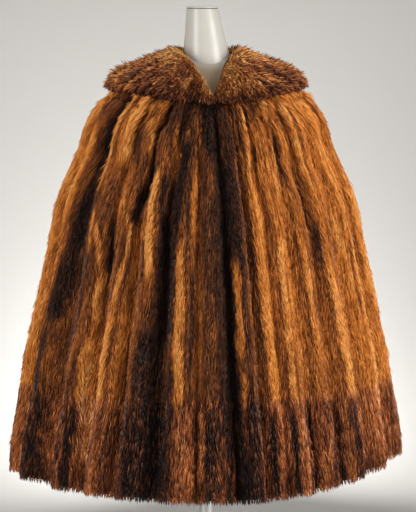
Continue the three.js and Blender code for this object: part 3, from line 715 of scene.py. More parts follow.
class Graph:
    """A new material with its shader, to which nodes are added."""

    def __init__(self, name: str, values: Values) -> None:
        """Make the material and set some of its shader's inputs."""
        self.material = bpy.data.materials.new(name)
        self.material.use_nodes = True
        self.tree = self.material.node_tree
        self.shader = self.tree.nodes["Principled BSDF"]
        self.fill(self.shader, values)

    @staticmethod
    def fill(node: bpy.types.Node, values: Values) -> None:
        """Set some inputs of a node."""
        for name, value in values.items():
            node.inputs[name].default_value = value

    def add(self, kind: str, values: Values | None = None) -> bpy.types.Node:
        """Add a node and set some of its inputs."""
        node = self.tree.nodes.new(kind)
        self.fill(node, values or {})
        return node

    def link(self, source: bpy.types.Node, output: str, target: bpy.types.Node, entry: str | int) -> None:
        """Lead an output of one node into an input of another."""
        self.tree.links.new(source.outputs[output], target.inputs[entry])

    def attribute(self, name: str) -> bpy.types.Node:
        """Read a number that the mesh keeps for each vertex."""
        node = self.add("ShaderNodeAttribute")
        node.attribute_name = name
        return node

    def on_piece(self, node: bpy.types.Node) -> bpy.types.Node:
        """Lay a texture or a mapping over the piece's own coordinates."""
        self.link(self.add("ShaderNodeTexCoord"), "Object", node, "Vector")
        return node

    def noise(self, scale: float, detail: float = 2.0) -> bpy.types.Node:
        """Add noise over the piece."""
        return self.on_piece(self.add("ShaderNodeTexNoise", {"Scale": scale, "Detail": detail}))

    def ramp(self, source: bpy.types.Node, output: str, colours: Colours) -> bpy.types.Node:
        """Turn a number from 0 to 1 into evenly spread colours."""
        ramp = self.add("ShaderNodeValToRGB")
        elements = ramp.color_ramp.elements
        while len(elements) < len(colours):
            elements.new(0.5)
        for element, stop, colour in zip(elements, np.linspace(0, 1, len(colours)), colours):
            element.position = stop
            element.color = (*colour, 1.0)
        self.link(source, output, ramp, "Fac")
        return ramp

    def bump(self, source: bpy.types.Node, output: str, distance: float) -> None:
        """Raise the surface by a number, so many metres at 1."""
        bump = self.add("ShaderNodeBump", {"Distance": distance})
        self.link(source, output, bump, "Height")
        self.link(bump, "Normal", self.shader, "Normal")


@dataclass(frozen=True)
class FurFinish:
    """The colours of a fur from its darkest to its most golden hairs, its gloss, and the painted shade that
    darkens its locks' roots and its underfur.
    """

    name: str
    colours: Colours
    # painted shade: the share of its colour that a lock keeps at its root, rising to all of it at the tip
    root_painted_shade: float = 0.92
    gloss = {"Roughness": 0.36, "Specular IOR Level": 0.24}
    underfur_gloss = {"Roughness": 0.7, "Specular IOR Level": 0.15}
    underfur_grain = (900.0, 900.0, 130.0)
    # painted shade of the underfur under the locks: it keeps between these shares of the fur's colour,
    # unevenly in a fine noise
    underfur_painted_shade = (0.15, 0.75)
    underfur_bump = 0.002

    def colour(self, graph: Graph, shade: bpy.types.Node, low: float, high: float) -> bpy.types.Material:
        """Colour a material by the fur's tone, darkened by painted shade between two numbers."""
        ramp = graph.ramp(graph.attribute("tone"), "Fac", self.colours)
        depth = graph.add("ShaderNodeMapRange", {"To Min": low, "To Max": high})
        graph.link(shade, "Fac", depth, "Value")
        shaded = graph.add("ShaderNodeVectorMath")
        shaded.operation = "SCALE"
        graph.link(ramp, "Color", shaded, "Vector")
        graph.link(depth, "Result", shaded, "Scale")
        graph.link(shaded, "Vector", graph.shader, "Base Color")
        return graph.material

    def hair(self) -> bpy.types.Material:
        """Make the material of the locks, which reads their tone and how far along they are, with painted
        shade towards their roots.
        """
        graph = Graph(f"{self.name}_hair", self.gloss)
        return self.colour(graph, graph.attribute("along"), self.root_painted_shade, 1.0)

    def skin(self) -> bpy.types.Material:
        """Make the material of the short dense underfur on the skins, darkened by painted shade in a fine
        noise.
        """
        graph = Graph(f"{self.name}_underfur", self.underfur_gloss)
        noise = graph.add("ShaderNodeTexNoise", {"Scale": 1.0, "Detail": 3.0})
        stretch = graph.on_piece(graph.add("ShaderNodeMapping", {"Scale": self.underfur_grain}))
        graph.link(stretch, "Vector", noise, "Vector")
        graph.bump(noise, "Fac", self.underfur_bump)
        return self.colour(graph, noise, *self.underfur_painted_shade)


BODY_FINISH = FurFinish(
    "mink",
    ((0.017, 0.007, 0.0042), (0.085, 0.026, 0.010), (0.310, 0.089, 0.018), (0.720, 0.235, 0.034),
     (0.900, 0.420, 0.105)),
)
BORDER_FINISH = FurFinish(
    "border_mink",
    ((0.012, 0.005, 0.0035), (0.120, 0.032, 0.012), (0.390, 0.108, 0.031), (0.680, 0.225, 0.062),
     (0.980, 0.460, 0.170)),
    root_painted_shade=0.7,
)
COLLAR_FINISH = FurFinish(
    "collar_mink",
    ((0.012, 0.004, 0.003), (0.115, 0.026, 0.009), (0.370, 0.102, 0.028), (0.740, 0.275, 0.058),
     (1.000, 0.540, 0.170)),
    root_painted_shade=0.4,
)


@dataclass(frozen=True)
class Finish:
    """A finish of two colours that noise mixes, with the height of its bumps in metres."""

    name: str
    dark: tuple[float, float, float]
    light: tuple[float, float, float]
    scale: float
    detail: float
    bump: float
    values: Values

    def material(self) -> bpy.types.Material:
        """Return the finish's material, which is made once."""
        found = bpy.data.materials.get(self.name)
        if found:
            return found
        graph = Graph(self.name, self.values)
        noise = graph.noise(self.scale, self.detail)
        ramp = graph.ramp(noise, "Fac", (self.dark, self.light))
        graph.link(ramp, "Color", graph.shader, "Base Color")
        if self.bump:
            graph.bump(noise, "Fac", self.bump)
        return graph.material


# the suede side of the skins, which shows only from below
LEATHER = Finish(
    "mink_leather", (0.30, 0.22, 0.14), (0.52, 0.42, 0.30), 60.0, 6.0, 0.0006, {"Roughness": 0.85}
)
# the dark joint under the neck's cap
DARK_JOINT = Finish(
    "dark_joint", (0.05, 0.045, 0.04), (0.13, 0.11, 0.10), 120.0, 2.0, 0.0, {"Roughness": 0.55}
)
# the stand's satin pale grey paint, with a fine grain
SATIN_PAINT = Finish(
    "stand_paint", (0.48, 0.47, 0.455), (0.60, 0.59, 0.575), 40.0, 8.0, 0.0001,
    {"Roughness": 0.38, "Metallic": 0.3},
)
LINEN_COLOURS = ((0.32, 0.25, 0.155), (0.54, 0.43, 0.28))
ENAMEL_COLOURS = ((0.50, 0.475, 0.415), (0.56, 0.535, 0.475))
JOINT_ON_LINEN = (0.52, 0.50, 0.46, 1.0)
JOINT_ON_ENAMEL = (0.46, 0.38, 0.26, 1.0)
JOINT_FROM, JOINT_TO = 1.314, 1.342


def joined(graph: Graph, ramp: bpy.types.Node, side: str, values: Values) -> bpy.types.Material:
    """Colour a material that changes over from the linen below to the enamel above.

    Args:
        graph: The material.
        ramp: Its own colours.
        side: The mix's input that they take, A for the linen and B for the enamel.
        values: The other input's colour, by its name.

    Returns:
        The material.
    """
    apart = graph.on_piece(graph.add("ShaderNodeSeparateXYZ"))
    share = graph.add("ShaderNodeMapRange", {"From Min": JOINT_FROM, "From Max": JOINT_TO})
    share.interpolation_type = "SMOOTHSTEP"
    graph.link(apart, "Z", share, "Value")
    mix = graph.add("ShaderNodeMix")
    mix.data_type = "RGBA"
    graph.link(share, "Result", mix, "Factor")
    graph.link(ramp, "Color", mix, side)
    graph.fill(mix, values)
    graph.link(mix, "Result", graph.shader, "Base Color")
    return graph.material


def linen() -> bpy.types.Material:
    """Make the form's plain-woven beige-grey cover."""
    graph = Graph("linen_weave", {"Roughness": 0.8})
    weave = graph.add("ShaderNodeMath")
    weave.operation = "MULTIPLY"
    for index, direction in enumerate("XZ"):
        wave = graph.add("ShaderNodeTexWave", {"Scale": 260.0, "Distortion": 1.4, "Detail": 2.0})
        graph.on_piece(wave).bands_direction = direction
        graph.link(wave, "Fac", weave, index)
    graph.bump(weave, "Value", 0.0003)
    return joined(graph, graph.ramp(weave, "Value", LINEN_COLOURS), "A", {"B": JOINT_ON_LINEN})


def enamel() -> bpy.types.Material:
    """Make the neck's glossy off-white enamel, with faint unevenness."""
    found = bpy.data.materials.get("enamel")
    if found:
        return found
    graph = Graph("enamel", {"Roughness": 0.4, "Coat Weight": 0.5, "Coat Roughness": 0.3})
    ramp = graph.ramp(graph.noise(18.0, 4.0), "Fac", ENAMEL_COLOURS)
    return joined(graph, ramp, "B", {"A": JOINT_ON_ENAMEL})


def stored(mesh: bpy.types.Mesh, name: str, values: Array) -> None:
    """Keep one number for each vertex in the mesh."""
    mesh.attributes.new(name, "FLOAT", "POINT").data.foreach_set("value", values.astype(np.float32))


def placed(mesh: bpy.types.Mesh, name: str, *materials: bpy.types.Material) -> bpy.types.Object:
    """Make an object of a mesh, in the scene, with its materials."""
    for material in materials:
        mesh.materials.append(material)
    piece = bpy.data.objects.new(name, mesh)
    bpy.context.scene.collection.objects.link(piece)
    return piece


def made(
    bm: bmesh.types.BMesh, name: str, *materials: bpy.types.Material, sharp: float = 180.0
) -> bpy.types.Object:
    """Make a smooth object of a mesh, with its edges sharp from an angle in degrees."""
    mesh = bpy.data.meshes.new(name)
    bm.to_mesh(mesh)
    bm.free()
    mesh.shade_smooth()
    if sharp < 180:
        mesh.set_sharp_from_angle(angle=math.radians(sharp))
    return placed(mesh, name, *materials)


def outlined(points: list[tuple[float, float, float]]) -> tuple[bmesh.types.BMesh, list, list]:
    """Start a mesh with a line through some points and return it with its vertices and edges."""
    bm = bmesh.new()
    verts = [bm.verts.new(point) for point in points]
    return bm, verts, [bm.edges.new(pair) for pair in zip(verts[:-1], verts[1:])]


def triangle_mesh(name: str, points: Array, faces: Array) -> bpy.types.Mesh:
    """Make a mesh of triangles, from its points and the numbers of its faces' corners."""
    mesh = bpy.data.meshes.new(name)
    mesh.vertices.add(points.size // 3)
    mesh.vertices.foreach_set("co", points.astype(np.float32).ravel())
    mesh.loops.add(faces.size)
    mesh.loops.foreach_set("vertex_index", faces.astype(np.int32).ravel())
    mesh.polygons.add(len(faces))
    mesh.polygons.foreach_set("loop_start", np.arange(0, faces.size, 3, dtype=np.int32))
    mesh.update(calc_edges=True)
    return mesh


def spans(surface: Surface, columns: int, rows: int, first_row: float = 0.0) -> tuple[Array, Array]:
    """Return the steps across and down between the points of a grid on a surface."""
    u, v = np.meshgrid(np.linspace(0, 1, columns + 1), np.linspace(first_row, 1, rows + 1))
    grid = surface.points(u.ravel(), v.ravel()).reshape(rows + 1, columns + 1, 3)
    return np.diff(grid, axis=1), np.diff(grid, axis=0)


# a lock's corners are its root, the two sides of its knee and its tip
LOCK_FACES = ((0, 2, 1), (3, 1, 2), (0, 1, 3), (0, 3, 2))
LOCK_ALONG = (0.0, 0.55, 0.55, 1.0)


@dataclass(frozen=True)
class Coat:
    """The fur of one surface, as closed tapered locks that lie down the nap.

    Lengths are in millimetres and angles in degrees. rise is how far the locks stand up from
    the skin and bow how much further they do at their roots. gather is how far a tip moves
    towards the middle of its tuft, stray is the share of thin guard hairs that stand up and
    stray_length how long they are as a share of the others.
    shown is how far along a lock its place on the cape sets its tone. hem_share is the share
    of locks that grow close to the lower edge, below hem_from.
    """

    density: float = 109000.0
    length: float = 29.0
    width: float = 1.0
    rise: float = 4.0
    bow: float = 6.0
    gather: float = 0.28
    stray: float = 0.09
    stray_rise: float = 20.0
    stray_length: float = 0.75
    unevenness: float = 0.14
    sway: float = 0.1
    tuft_width: float = 4.0
    tuft_length: float = 24.0
    first_row: float = 0.0
    shown: float = 0.7
    hem_share: float = 0.0
    hem_from: float = 0.93
    cells = 70
    stray_width = 0.45
    knee = 0.42
    root_depth = 0.6

    def roots(self, surface: Surface, draw: np.random.Generator) -> tuple[Array, Array, float, float]:
        """Draw the roots evenly over the surface's real area.

        Args:
            surface: What the fur grows on.
            draw: The seeded random numbers.

        Returns:
            The roots' u and v, and the surface's mean width and length in metres.
        """
        wide, long = spans(surface, self.cells, self.cells, self.first_row)
        wide, long = wide[:-1], long[:, :-1]
        areas = np.linalg.norm(np.cross(wide, long), axis=-1).ravel()
        count = int(areas.sum() * self.density)
        cells = draw.choice(areas.size, count, p=areas / areas.sum())
        root_u = (cells % self.cells + draw.random(count)) / self.cells
        down = cells // self.cells + draw.random(count)
        root_v = self.first_row + (1 - self.first_row) * down / self.cells
        at_hem = draw.random(count) < self.hem_share
        root_v = np.where(at_hem, self.hem_from + (1 - self.hem_from) * draw.random(count), root_v)
        mean_wide = np.linalg.norm(wide, axis=-1).sum(axis=1).mean()
        mean_long = np.linalg.norm(long, axis=-1).sum(axis=0).mean()
        return root_u, root_v, mean_wide, mean_long

    def tufts(self, u: Array, v: Array, wide: float, long: float, seed: int) -> tuple[Array, Array, Array]:
        """Sort roots into tufts.

        Args:
            u: Where the roots are across.
            v: Where they are down.
            wide: The surface's width in millimetres.
            long: Its length in millimetres.
            seed: The seed of the tufts' random numbers.

        Returns:
            The number of each root's tuft across, that of its line and how far off its middle is in u.
        """
        across, down = wide / self.tuft_width, long / self.tuft_length
        line = np.floor(v * down + 0.6 * soft_noise(u * across * 0.5, v * 3, seed))
        column = u * across + 0.5 * chance(line, 0 * line, seed + 1)
        tuft = np.floor(column)
        middle = tuft + 0.3 + 0.4 * chance(tuft, line, seed + 2)
        return tuft, line, (middle - column) / across

    def grow(self, name: str, surface: Surface, seed: int, finish: FurFinish) -> bpy.types.Object:
        """Make the fur.

        Args:
            name: The piece's name.
            surface: What the fur grows on.
            seed: The seed of its random numbers.
            finish: Its colours.

        Returns:
            The piece, one mesh of closed locks with four faces each.
        """
        draw = np.random.default_rng(seed)
        u, v, wide, long = self.roots(surface, draw)
        count = len(u)

        def noise(across: float, down: float, step: int) -> Array:
            """Return soft noise with so many bumps to a metre, under the seed so many steps on."""
            return soft_noise(u * wide * across, v * long * down, seed + step)

        root = surface.points(u, v)
        across, down, out = axes_of(surface, u, v)
        reach, fall = np.linalg.norm(across, axis=-1), np.linalg.norm(down, axis=-1)
        across, down = unit(across), unit(down)

        tuft, line, off_middle = self.tufts(u, v, wide / MM, long / MM, seed)
        aside = off_middle * reach * self.gather

        stray = draw.random(count) < self.stray
        length = self.length * MM * (0.7 + 0.5 * draw.random(count))
        length = length * np.where(stray, self.stray_length, 1.0)
        length *= (0.85 + 0.3 * chance(tuft, line, seed + 3)) * surface.pile(u, v)
        width = self.width * MM * (0.7 + 0.6 * draw.random(count))
        width = width * np.where(stray, self.stray_width, 1.0)
        stand = self.rise * (0.4 + 0.8 * draw.random(count)) * (0.6 + 0.8 * chance(tuft, line, seed + 4))
        stand = np.radians(stand + self.stray_rise * stray * draw.random(count))
        arch = stand + math.radians(self.bow)
        sway = surface.flow(u, v) + self.sway * (
            noise(22, 9, 5) + 0.6 * noise(60, 30, 6) + 0.5 * draw.normal(size=count)
        )
        heading = unit(down * np.cos(sway)[:, None] + across * np.sin(sway)[:, None])

        def along(angle: Array, reached: Array, moved: Array) -> Array:
            """Return points a length away from the roots, at an angle off the skin, moved across."""
            way = heading * np.cos(angle)[:, None] + out * np.sin(angle)[:, None]
            return root + way * reached[:, None] + across * moved[:, None]

        tip = along(stand, length, aside)
        knee = along(arch, self.knee * length, 0.3 * aside)
        side = unit(np.cross(out, tip - root)) * (width / 2)[:, None]

        points = np.stack([root - out * self.root_depth * MM, knee + side, knee - side, tip], axis=1)
        faces = (np.arange(count)[:, None, None] * 4 + np.array(LOCK_FACES)).reshape(-1, 3)
        shown = self.shown * length
        tip_u = np.clip(u + (shown * np.sin(sway) + aside) / reach, 0, 1)
        tip_v = np.clip(v + shown * np.cos(sway) / fall, 0, 1)
        tone = surface.tone(tip_u, tip_v) + self.unevenness * (
            0.5 * (chance(tuft, line, seed + 7) - 0.5)
            + 0.4 * noise(45, 7, 8) + 0.5 * noise(160, 22, 9) + 0.9 * noise(400, 60, 10)
            + 0.5 * draw.normal(size=count)
        )
        mesh = triangle_mesh(name, points, faces)
        stored(mesh, "tone", np.repeat(np.clip(tone, 0, 1), 4))
        stored(mesh, "along", np.tile(LOCK_ALONG, count))
        self.add_map(mesh, u, v, faces, length / max(long, 0.01), width / max(wide, 0.01))
        return placed(mesh, name, finish.hair())

    def add_map(
        self, mesh: bpy.types.Mesh, u: Array, v: Array, faces: Array, long: Array, wide: Array
    ) -> None:
        """Lay the locks out flat as they lie on the skin, for the pictures of their colours."""
        flat = np.stack([u, 1 - v], axis=-1)[:, None, :].repeat(4, axis=1)
        flat[:, 1, 0] -= wide / 2
        flat[:, 2, 0] += wide / 2
        flat[:, 1:3, 1] -= (self.knee * long)[:, None]
        flat[:, 3, 1] -= long
        corners = np.clip(flat, 0, 1).reshape(-1, 2)[faces.ravel()]
        mesh.uv_layers.new(name="OFBake").data.foreach_set("uv", corners.astype(np.float32).ravel())


BODY_COAT = Coat(first_row=0.15)
BORDER_COAT = Coat(
    density=90000.0, width=1.1, rise=6.0, bow=8.0, gather=0.5, stray=0.12, stray_rise=14.0, unevenness=0.24,
    sway=0.13, tuft_width=5.0, tuft_length=22.0, hem_share=0.17,
)
COLLAR_COAT = Coat(
    density=145000.0, length=19.0, width=1.1, rise=32.0, bow=14.0, gather=0.8, stray=0.2, stray_rise=34.0,
    stray_length=1.05, unevenness=0.32, sway=0.35, tuft_width=8.0, tuft_length=15.0, first_row=0.04,
)


@dataclass(frozen=True)
class Pelt:
    """A kind of fur, with its slot in the record and the seed of its first piece."""

    coat: Coat
    finish: FurFinish
    slot: Slot
    seed: int


BODY_PELT = Pelt(BODY_COAT, BODY_FINISH, Slot.BODY_FUR, 100)
BORDER_PELT = Pelt(BORDER_COAT, BORDER_FINISH, Slot.BORDER_FUR, 200)
COLLAR_PELT = Pelt(COLLAR_COAT, COLLAR_FINISH, Slot.COLLAR_FUR, 300)


@dataclass(frozen=True)
class Skin:
    """A thin skin on a surface, which holds the fur."""

    columns: int
    rows: int
    thickness: float = 1.8
    darker = 0.05

    def cut(self, name: str, surface: Surface, finish: FurFinish) -> bpy.types.Object:
        """Make the skin from a grid that is laid on the surface.

        Args:
            name: The piece's name.
            surface: Where it hangs.
            finish: The colours of its underfur.

        Returns:
            The piece, with its thickness as a modifier.
        """
        bm = bmesh.new()
        bmesh.ops.create_grid(bm, x_segments=self.columns, y_segments=self.rows, size=1.0)
        flat = np.array([vertex.co[:2] for vertex in bm.verts])
        u, v = (flat[:, 0] + 1) / 2, (1 - flat[:, 1]) / 2
        for vertex, point in zip(bm.verts, surface.points(u, v)):
            vertex.co = point
        piece = made(bm, name, finish.skin(), LEATHER.material())
        stored(piece.data, "tone", np.clip(surface.tone(u, v) - self.darker, 0, 1))
        wall = piece.modifiers.new("wall", "SOLIDIFY")
        wall.thickness, wall.offset = self.thickness * MM, -1.0
        wall.material_offset = 1
        return piece


@dataclass(frozen=True)
class Panel:
    """One panel of the cape, from one hollow between folds to another."""

    name: str
    first: float
    last: float


PANELS = (
    Panel("front_right", 0, 6),
    Panel("side_right", 6, 10),
    Panel("back", 10, 16),
    Panel("side_left", 16, 19),
    Panel("front_left", 19, 25),
)
CENTRE_BACK = 12.5


class Cape:
    """The cape: its panels, the border below them and the collar."""

    hem_fringe = 0.15
    seam = 0.001
    gap_share = 0.00008
    front_gap, back_gap = 0.01, 0.002
    columns_each, body_rows, border_rows = 12, 40, 9
    collar_grid = (96, 18)
    least_share = 0.31
    measured_grid = (120, 80)

    def __init__(self, drape: Drape) -> None:
        """Keep the surface that everything hangs on."""
        self.drape = drape

    def flat_size(self, surface: Surface) -> tuple[float, float, float]:
        """Measure the cut of a skin: its widest width, its length and its area."""
        wide, long = spans(surface, *self.measured_grid)
        area = np.linalg.norm(np.cross(wide[:-1], long[:, :-1]), axis=-1).sum()
        width = np.linalg.norm(wide, axis=-1).sum(axis=1).max()
        length = np.linalg.norm(long, axis=-1).sum(axis=0).max()
        return float(width), float(length), float(area)

    def dress(
        self,
        name: str,
        node: str,
        surface: Surface,
        skin: Skin,
        pelt: Pelt,
        index: int,
    ) -> None:
        """Make a skin with its fur and report them to the frame.

        Args:
            name: What the piece is called.
            node: The solid that they stand for.
            surface: Where they hang.
            skin: The skin's cut.
            pelt: The kind of fur.
            index: The piece's number among those of its fur.
        """
        hide = skin.cut(f"skin_{name}", surface, pelt.finish)
        fur = pelt.coat.grow(f"fur_{name}", surface, pelt.seed + index, pelt.finish)
        for piece in (hide, fur):
            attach(piece, BODY)
        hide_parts(node)
        width, length, area = self.flat_size(surface)
        area = min(max(area, self.least_share * width * length), width * length)
        locks = len(fur.data.vertices) // 4
        LOG.info("%s: %d locks, cut %.3f x %.3f m, %.3f m2", name, locks, width, length, area)

    def build(self) -> None:
        """Make the panels, the border and the collar."""
        for index, panel in enumerate(PANELS):
            inset = self.gap_share * (panel.last - panel.first)
            first, last = panel.first + inset, panel.last - inset
            columns = int((panel.last - panel.first) * self.columns_each)
            body = Cloth(self.drape, first, last, -1.0, BORDER_ROW - self.seam)
            node, skin = f"cape_{panel.name}", Skin(columns, self.body_rows)
            self.dress(panel.name, node, body, skin, BODY_PELT, index)
            border = Cloth(self.drape, first, last, BORDER_ROW + self.seam, HEM_ROW - self.hem_fringe)
            name, skin = f"border_{panel.name}", Skin(columns, self.border_rows)
            self.dress(name, name, border, skin, BORDER_PELT, index)
        halves = (
            ("right", self.front_gap, CENTRE_BACK - self.back_gap),
            ("left", CENTRE_BACK + self.back_gap, FOLD_COUNT - self.front_gap),
        )
        for index, (side, first, last) in enumerate(halves):
            name, roll = f"collar_{side}", Roll(self.drape, first, last)
            self.dress(name, name, roll, Skin(*self.collar_grid), COLLAR_PELT, index)


class DressForm:
    """The limbless form: a linen torso, a glossy neck with a band and a cap at its top."""

    torso = (
        Section("armhole", 182, 1261, 118, 1198, 112, 1230),
        Section("under arm", 172, 1205, 127, 1160, 112, 1180),
        Section("bust", 158, 1130, 134, 1115, 104, 1125),
        Section("ribs", 140, 1050, 110, 1050, 94, 1050),
        Section("waist", 118, 980, 92, 980, 84, 980),
        Section("high hip", 150, 900, 106, 900, 106, 900),
        Section("hip", 172, 830, 118, 830, 124, 830),
        Section("lower edge", 168, 780, 114, 780, 120, 780),
    )
    neck = (
        Section("neck top", 34, 1448, 34, 1448, 34, 1448),
        Section("upper neck", 38, 1424, 38, 1424, 38, 1424),
        Section("mid neck", 42, 1398, 41, 1396, 42, 1398),
        Section("lower neck", 46, 1374, 45, 1368, 47, 1374),
    )
    rest_gap = 0.5
    joint_height = 1345.0
    neck_inset = 0.02
    covered_rows = 4
    band_radius, cap_radius, top, seam = 32.8, 33.8, 1453.5, 0.3
    band_height, cap_edge = 1.8, 1.2
    lean = 0.085
    angle_step, torso_rings, neck_rings = 3.75, 70, 26

    def __init__(self, drape: Drape) -> None:
        """Keep the surface whose shoulders the torso shares."""
        self.drape = drape

    def shoulder_rings(self, degrees: Array) -> list[Array]:
        """Return the torso's rings over the neck base and the shoulders."""
        neckline = self.drape.neckline(degrees)
        edge = self.drape.collar_edge(degrees)
        start = neckline + self.drape.collar_stand
        rows = [0 * degrees, neckline / 2, neckline]
        rows += [start + (edge - start) * step / self.covered_rows for step in range(self.covered_rows)]
        return [self.drape.raised(row, degrees, np.full_like(degrees, -self.rest_gap)) for row in rows]

    @staticmethod
    def tube(name: str, rings: list[Array], steps: int, material: bpy.types.Material) -> bpy.types.Object:
        """Make a closed smooth body through rings of points from the top down."""
        table = np.array(rings)
        count = table.shape[1]
        bm = bmesh.new()
        previous: list[bmesh.types.BMEdge] = []
        for row in np.linspace(0, len(rings) - 1, steps):
            loop = bmesh.ops.create_circle(bm, cap_ends=False, segments=count, radius=1.0)["verts"]
            for vertex, point in zip(loop, smooth_table(table, np.array(row))):
                vertex.co = point
            edges = list({edge for vertex in loop for edge in vertex.link_edges})
            if previous:
                bmesh.ops.bridge_loops(bm, edges=previous + edges)
            previous = edges
        bmesh.ops.holes_fill(bm, edges=[edge for edge in bm.edges if edge.is_boundary], sides=0)
        bmesh.ops.recalc_face_normals(bm, faces=bm.faces[:])
        return made(bm, name, material, sharp=40.0)

    def neck_middle(self, height: float) -> float:
        """Return where the middle of the leaning neck is at a height, in millimetres."""
        return (self.joint_height - height) * self.lean

    def build(self) -> None:
        """Make the torso, the neck, the band and the cap."""
        degrees = np.arange(0, 360, self.angle_step)
        shoulders = self.shoulder_rings(degrees)
        lower = [section_points(np.array(section.numbers()), degrees) for section in self.torso]
        torso = self.tube("form_linen_torso", shoulders + lower, self.torso_rings, linen())
        foot = shoulders[0] + (np.array([0, 0, self.joint_height * MM]) - shoulders[0]) * self.neck_inset
        foot[:, 2] += self.rest_gap * MM
        upper = [section_points(np.array(section.numbers()), degrees) for section in self.neck]
        for ring, section in zip(upper, self.neck):
            ring[:, 0] += self.neck_middle(section.side_up) * MM
        neck = self.tube("form_gloss_neck", upper + [foot], self.neck_rings, enamel())
        base = self.neck[0].side_up + self.seam
        aside = self.neck_middle(base)
        band_side = rounded(self.band_radius, self.band_height, 0.0)
        band = turned("form_dark_band", base, band_side, DARK_JOINT.material(), aside)
        cap_base = base + self.band_height + self.seam
        cap_side = rounded(self.cap_radius, self.top - cap_base, self.cap_edge)
        cap = turned("form_gloss_cap", cap_base, cap_side, enamel(), aside)
        slots = (Slot.LINEN, Slot.GLOSS, Slot.BAND, Slot.GLOSS)
        nodes = ("form_torso", "form_neck", "form_neck_band", "form_neck_cap")
        report((torso, neck, band, cap), nodes, slots)


def report(pieces: tuple[bpy.types.Object, ...], nodes: tuple[str, ...], slots: tuple[Slot, ...]) -> None:
    """Tell the frame what each piece stands for."""
    for piece, node, slot in zip(pieces, nodes, slots):
        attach(piece, BODY)
        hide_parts(node)
        LOG.info("%s stands for %s", piece.name, node)


def rounded(radius: float, height: float, cut: float) -> tuple[tuple[float, float], ...]:
    """Return the profile of a disc or a pole, its upper edge cut back twice if it is cut."""
    rim = ((radius, height - cut), (radius - cut / 3, height - cut / 3), (radius - cut, height))
    return ((0, 0), (radius, 0), *(rim if cut else rim[:1]), (0, height))


def turned(
    name: str,
    height: float,
    profile: tuple[tuple[float, float], ...],
    material: bpy.types.Material,
    aside: float = 0.0,
) -> bpy.types.Object:
    """Make a round body by spinning its profile about the axis.

    Args:
        name: The piece's name.
        height: The height of the profile's zero, in millimetres.
        profile: Radii and heights from the axis at the bottom to the axis at the top.
        material: Its finish.
        aside: Where its axis is, in millimetres to the viewer's right.

    Returns:
        The piece.
    """
    bm, verts, edges = outlined([(radius * MM, 0, (height + up) * MM) for radius, up in profile])
    bmesh.ops.spin(
        bm, geom=verts + edges, cent=(0, 0, 0), axis=(0, 0, 1), angle=math.tau, steps=96, use_merge=True
    )
    bmesh.ops.remove_doubles(bm, verts=bm.verts[:], dist=0.001 * MM)
    bmesh.ops.translate(bm, verts=bm.verts[:], vec=(aside * MM, 0, 0))
    bmesh.ops.recalc_face_normals(bm, faces=bm.faces[:])
    return made(bm, name, material, sharp=35.0)


class Stand:
    """The form's stand: a socket under the torso, a pole and a round base."""

    base_radius, base_height, base_edge = 200.0, 10.0, 4.0
    pole_radius, pole_edge, collar = 16.0, 1.0, 3.0
    socket_radius, socket_height, socket_edge = 30.0, 40.0, 3.0
    torso_bottom, seam = 780.0, 0.3

    def build(self) -> None:
        """Make the three pieces."""
        paint = SATIN_PAINT.material()
        radius, height, edge = self.base_radius, self.base_height, self.base_edge
        profile = [(0, 0), (radius, 0), (radius, height - edge)]
        profile += [
            (radius - edge + edge * math.cos(turn), height - edge + edge * math.sin(turn))
            for turn in (math.radians(degrees) for degrees in (22.5, 45, 67.5))
        ]
        profile += [(radius - edge, height), (self.pole_radius + self.collar, height), (0, height)]
        base = turned("stand_round_base", 0, tuple(profile), paint)
        socket_base = self.torso_bottom - self.seam - self.socket_height
        cup = rounded(self.socket_radius, self.socket_height, self.socket_edge)
        socket = turned("stand_socket_cup", socket_base, cup, paint)
        wide, long = self.pole_radius, socket_base - self.base_height - 2 * self.seam
        cut = self.pole_edge
        tube = ((0, 0), (wide, 0), (wide, long - cut), (wide - cut, long), (0, long))
        pole = turned("stand_round_pole", self.base_height + self.seam, tube, paint)
        report((socket, pole, base), ("stand_socket", "stand_pole", "stand_base"), (Slot.METAL,) * 3)


@dataclass(frozen=True)
class Lamp:
    """A soft lamp: its place, the point it faces, its width and height, and its watts."""

    name: str
    place: tuple[float, float, float]
    target: tuple[float, float, float]
    size: tuple[float, float]
    watts: float

    def hang(self) -> None:
        """Put the lamp into the scene."""
        light = bpy.data.lights.new(self.name, "AREA")
        light.shape = "RECTANGLE"
        light.energy, light.size, light.size_y = self.watts, *self.size
        hang_up(self.name, light, Vector(self.place), Vector(self.target))


LAMPS = (
    Lamp("key", (2.3, -2.1, 1.3), (0.0, 0.0, 1.0), (1.4, 2.4), 104.0),
    Lamp("fill", (-2.5, -1.6, 1.3), (0.0, 0.0, 1.0), (1.0, 2.4), 64.0),
    Lamp("top", (0.3, -1.2, 3.6), (0.0, 0.0, 0.9), (1.4, 1.4), 8.0),
    Lamp("left wash", (0.1, 2.0, 0.6), (-0.3, 2.9, 0.35), (0.4, 0.3), 10.0),
    Lamp("right wash", (0.56, 2.0, 0.6), (1.1, 2.9, 0.35), (0.4, 0.3), 8.5),
)


def hang_up(name: str, thing: bpy.types.ID, place: Vector, target: Vector) -> bpy.types.Object:
    """Put a lamp or a camera at a place, turned to face a point."""
    holder = bpy.data.objects.new(name, thing)
    holder.location = place
    holder.rotation_euler = (target - place).to_track_quat("-Z", "Y").to_euler()
    bpy.context.scene.collection.objects.link(holder)
    return holder


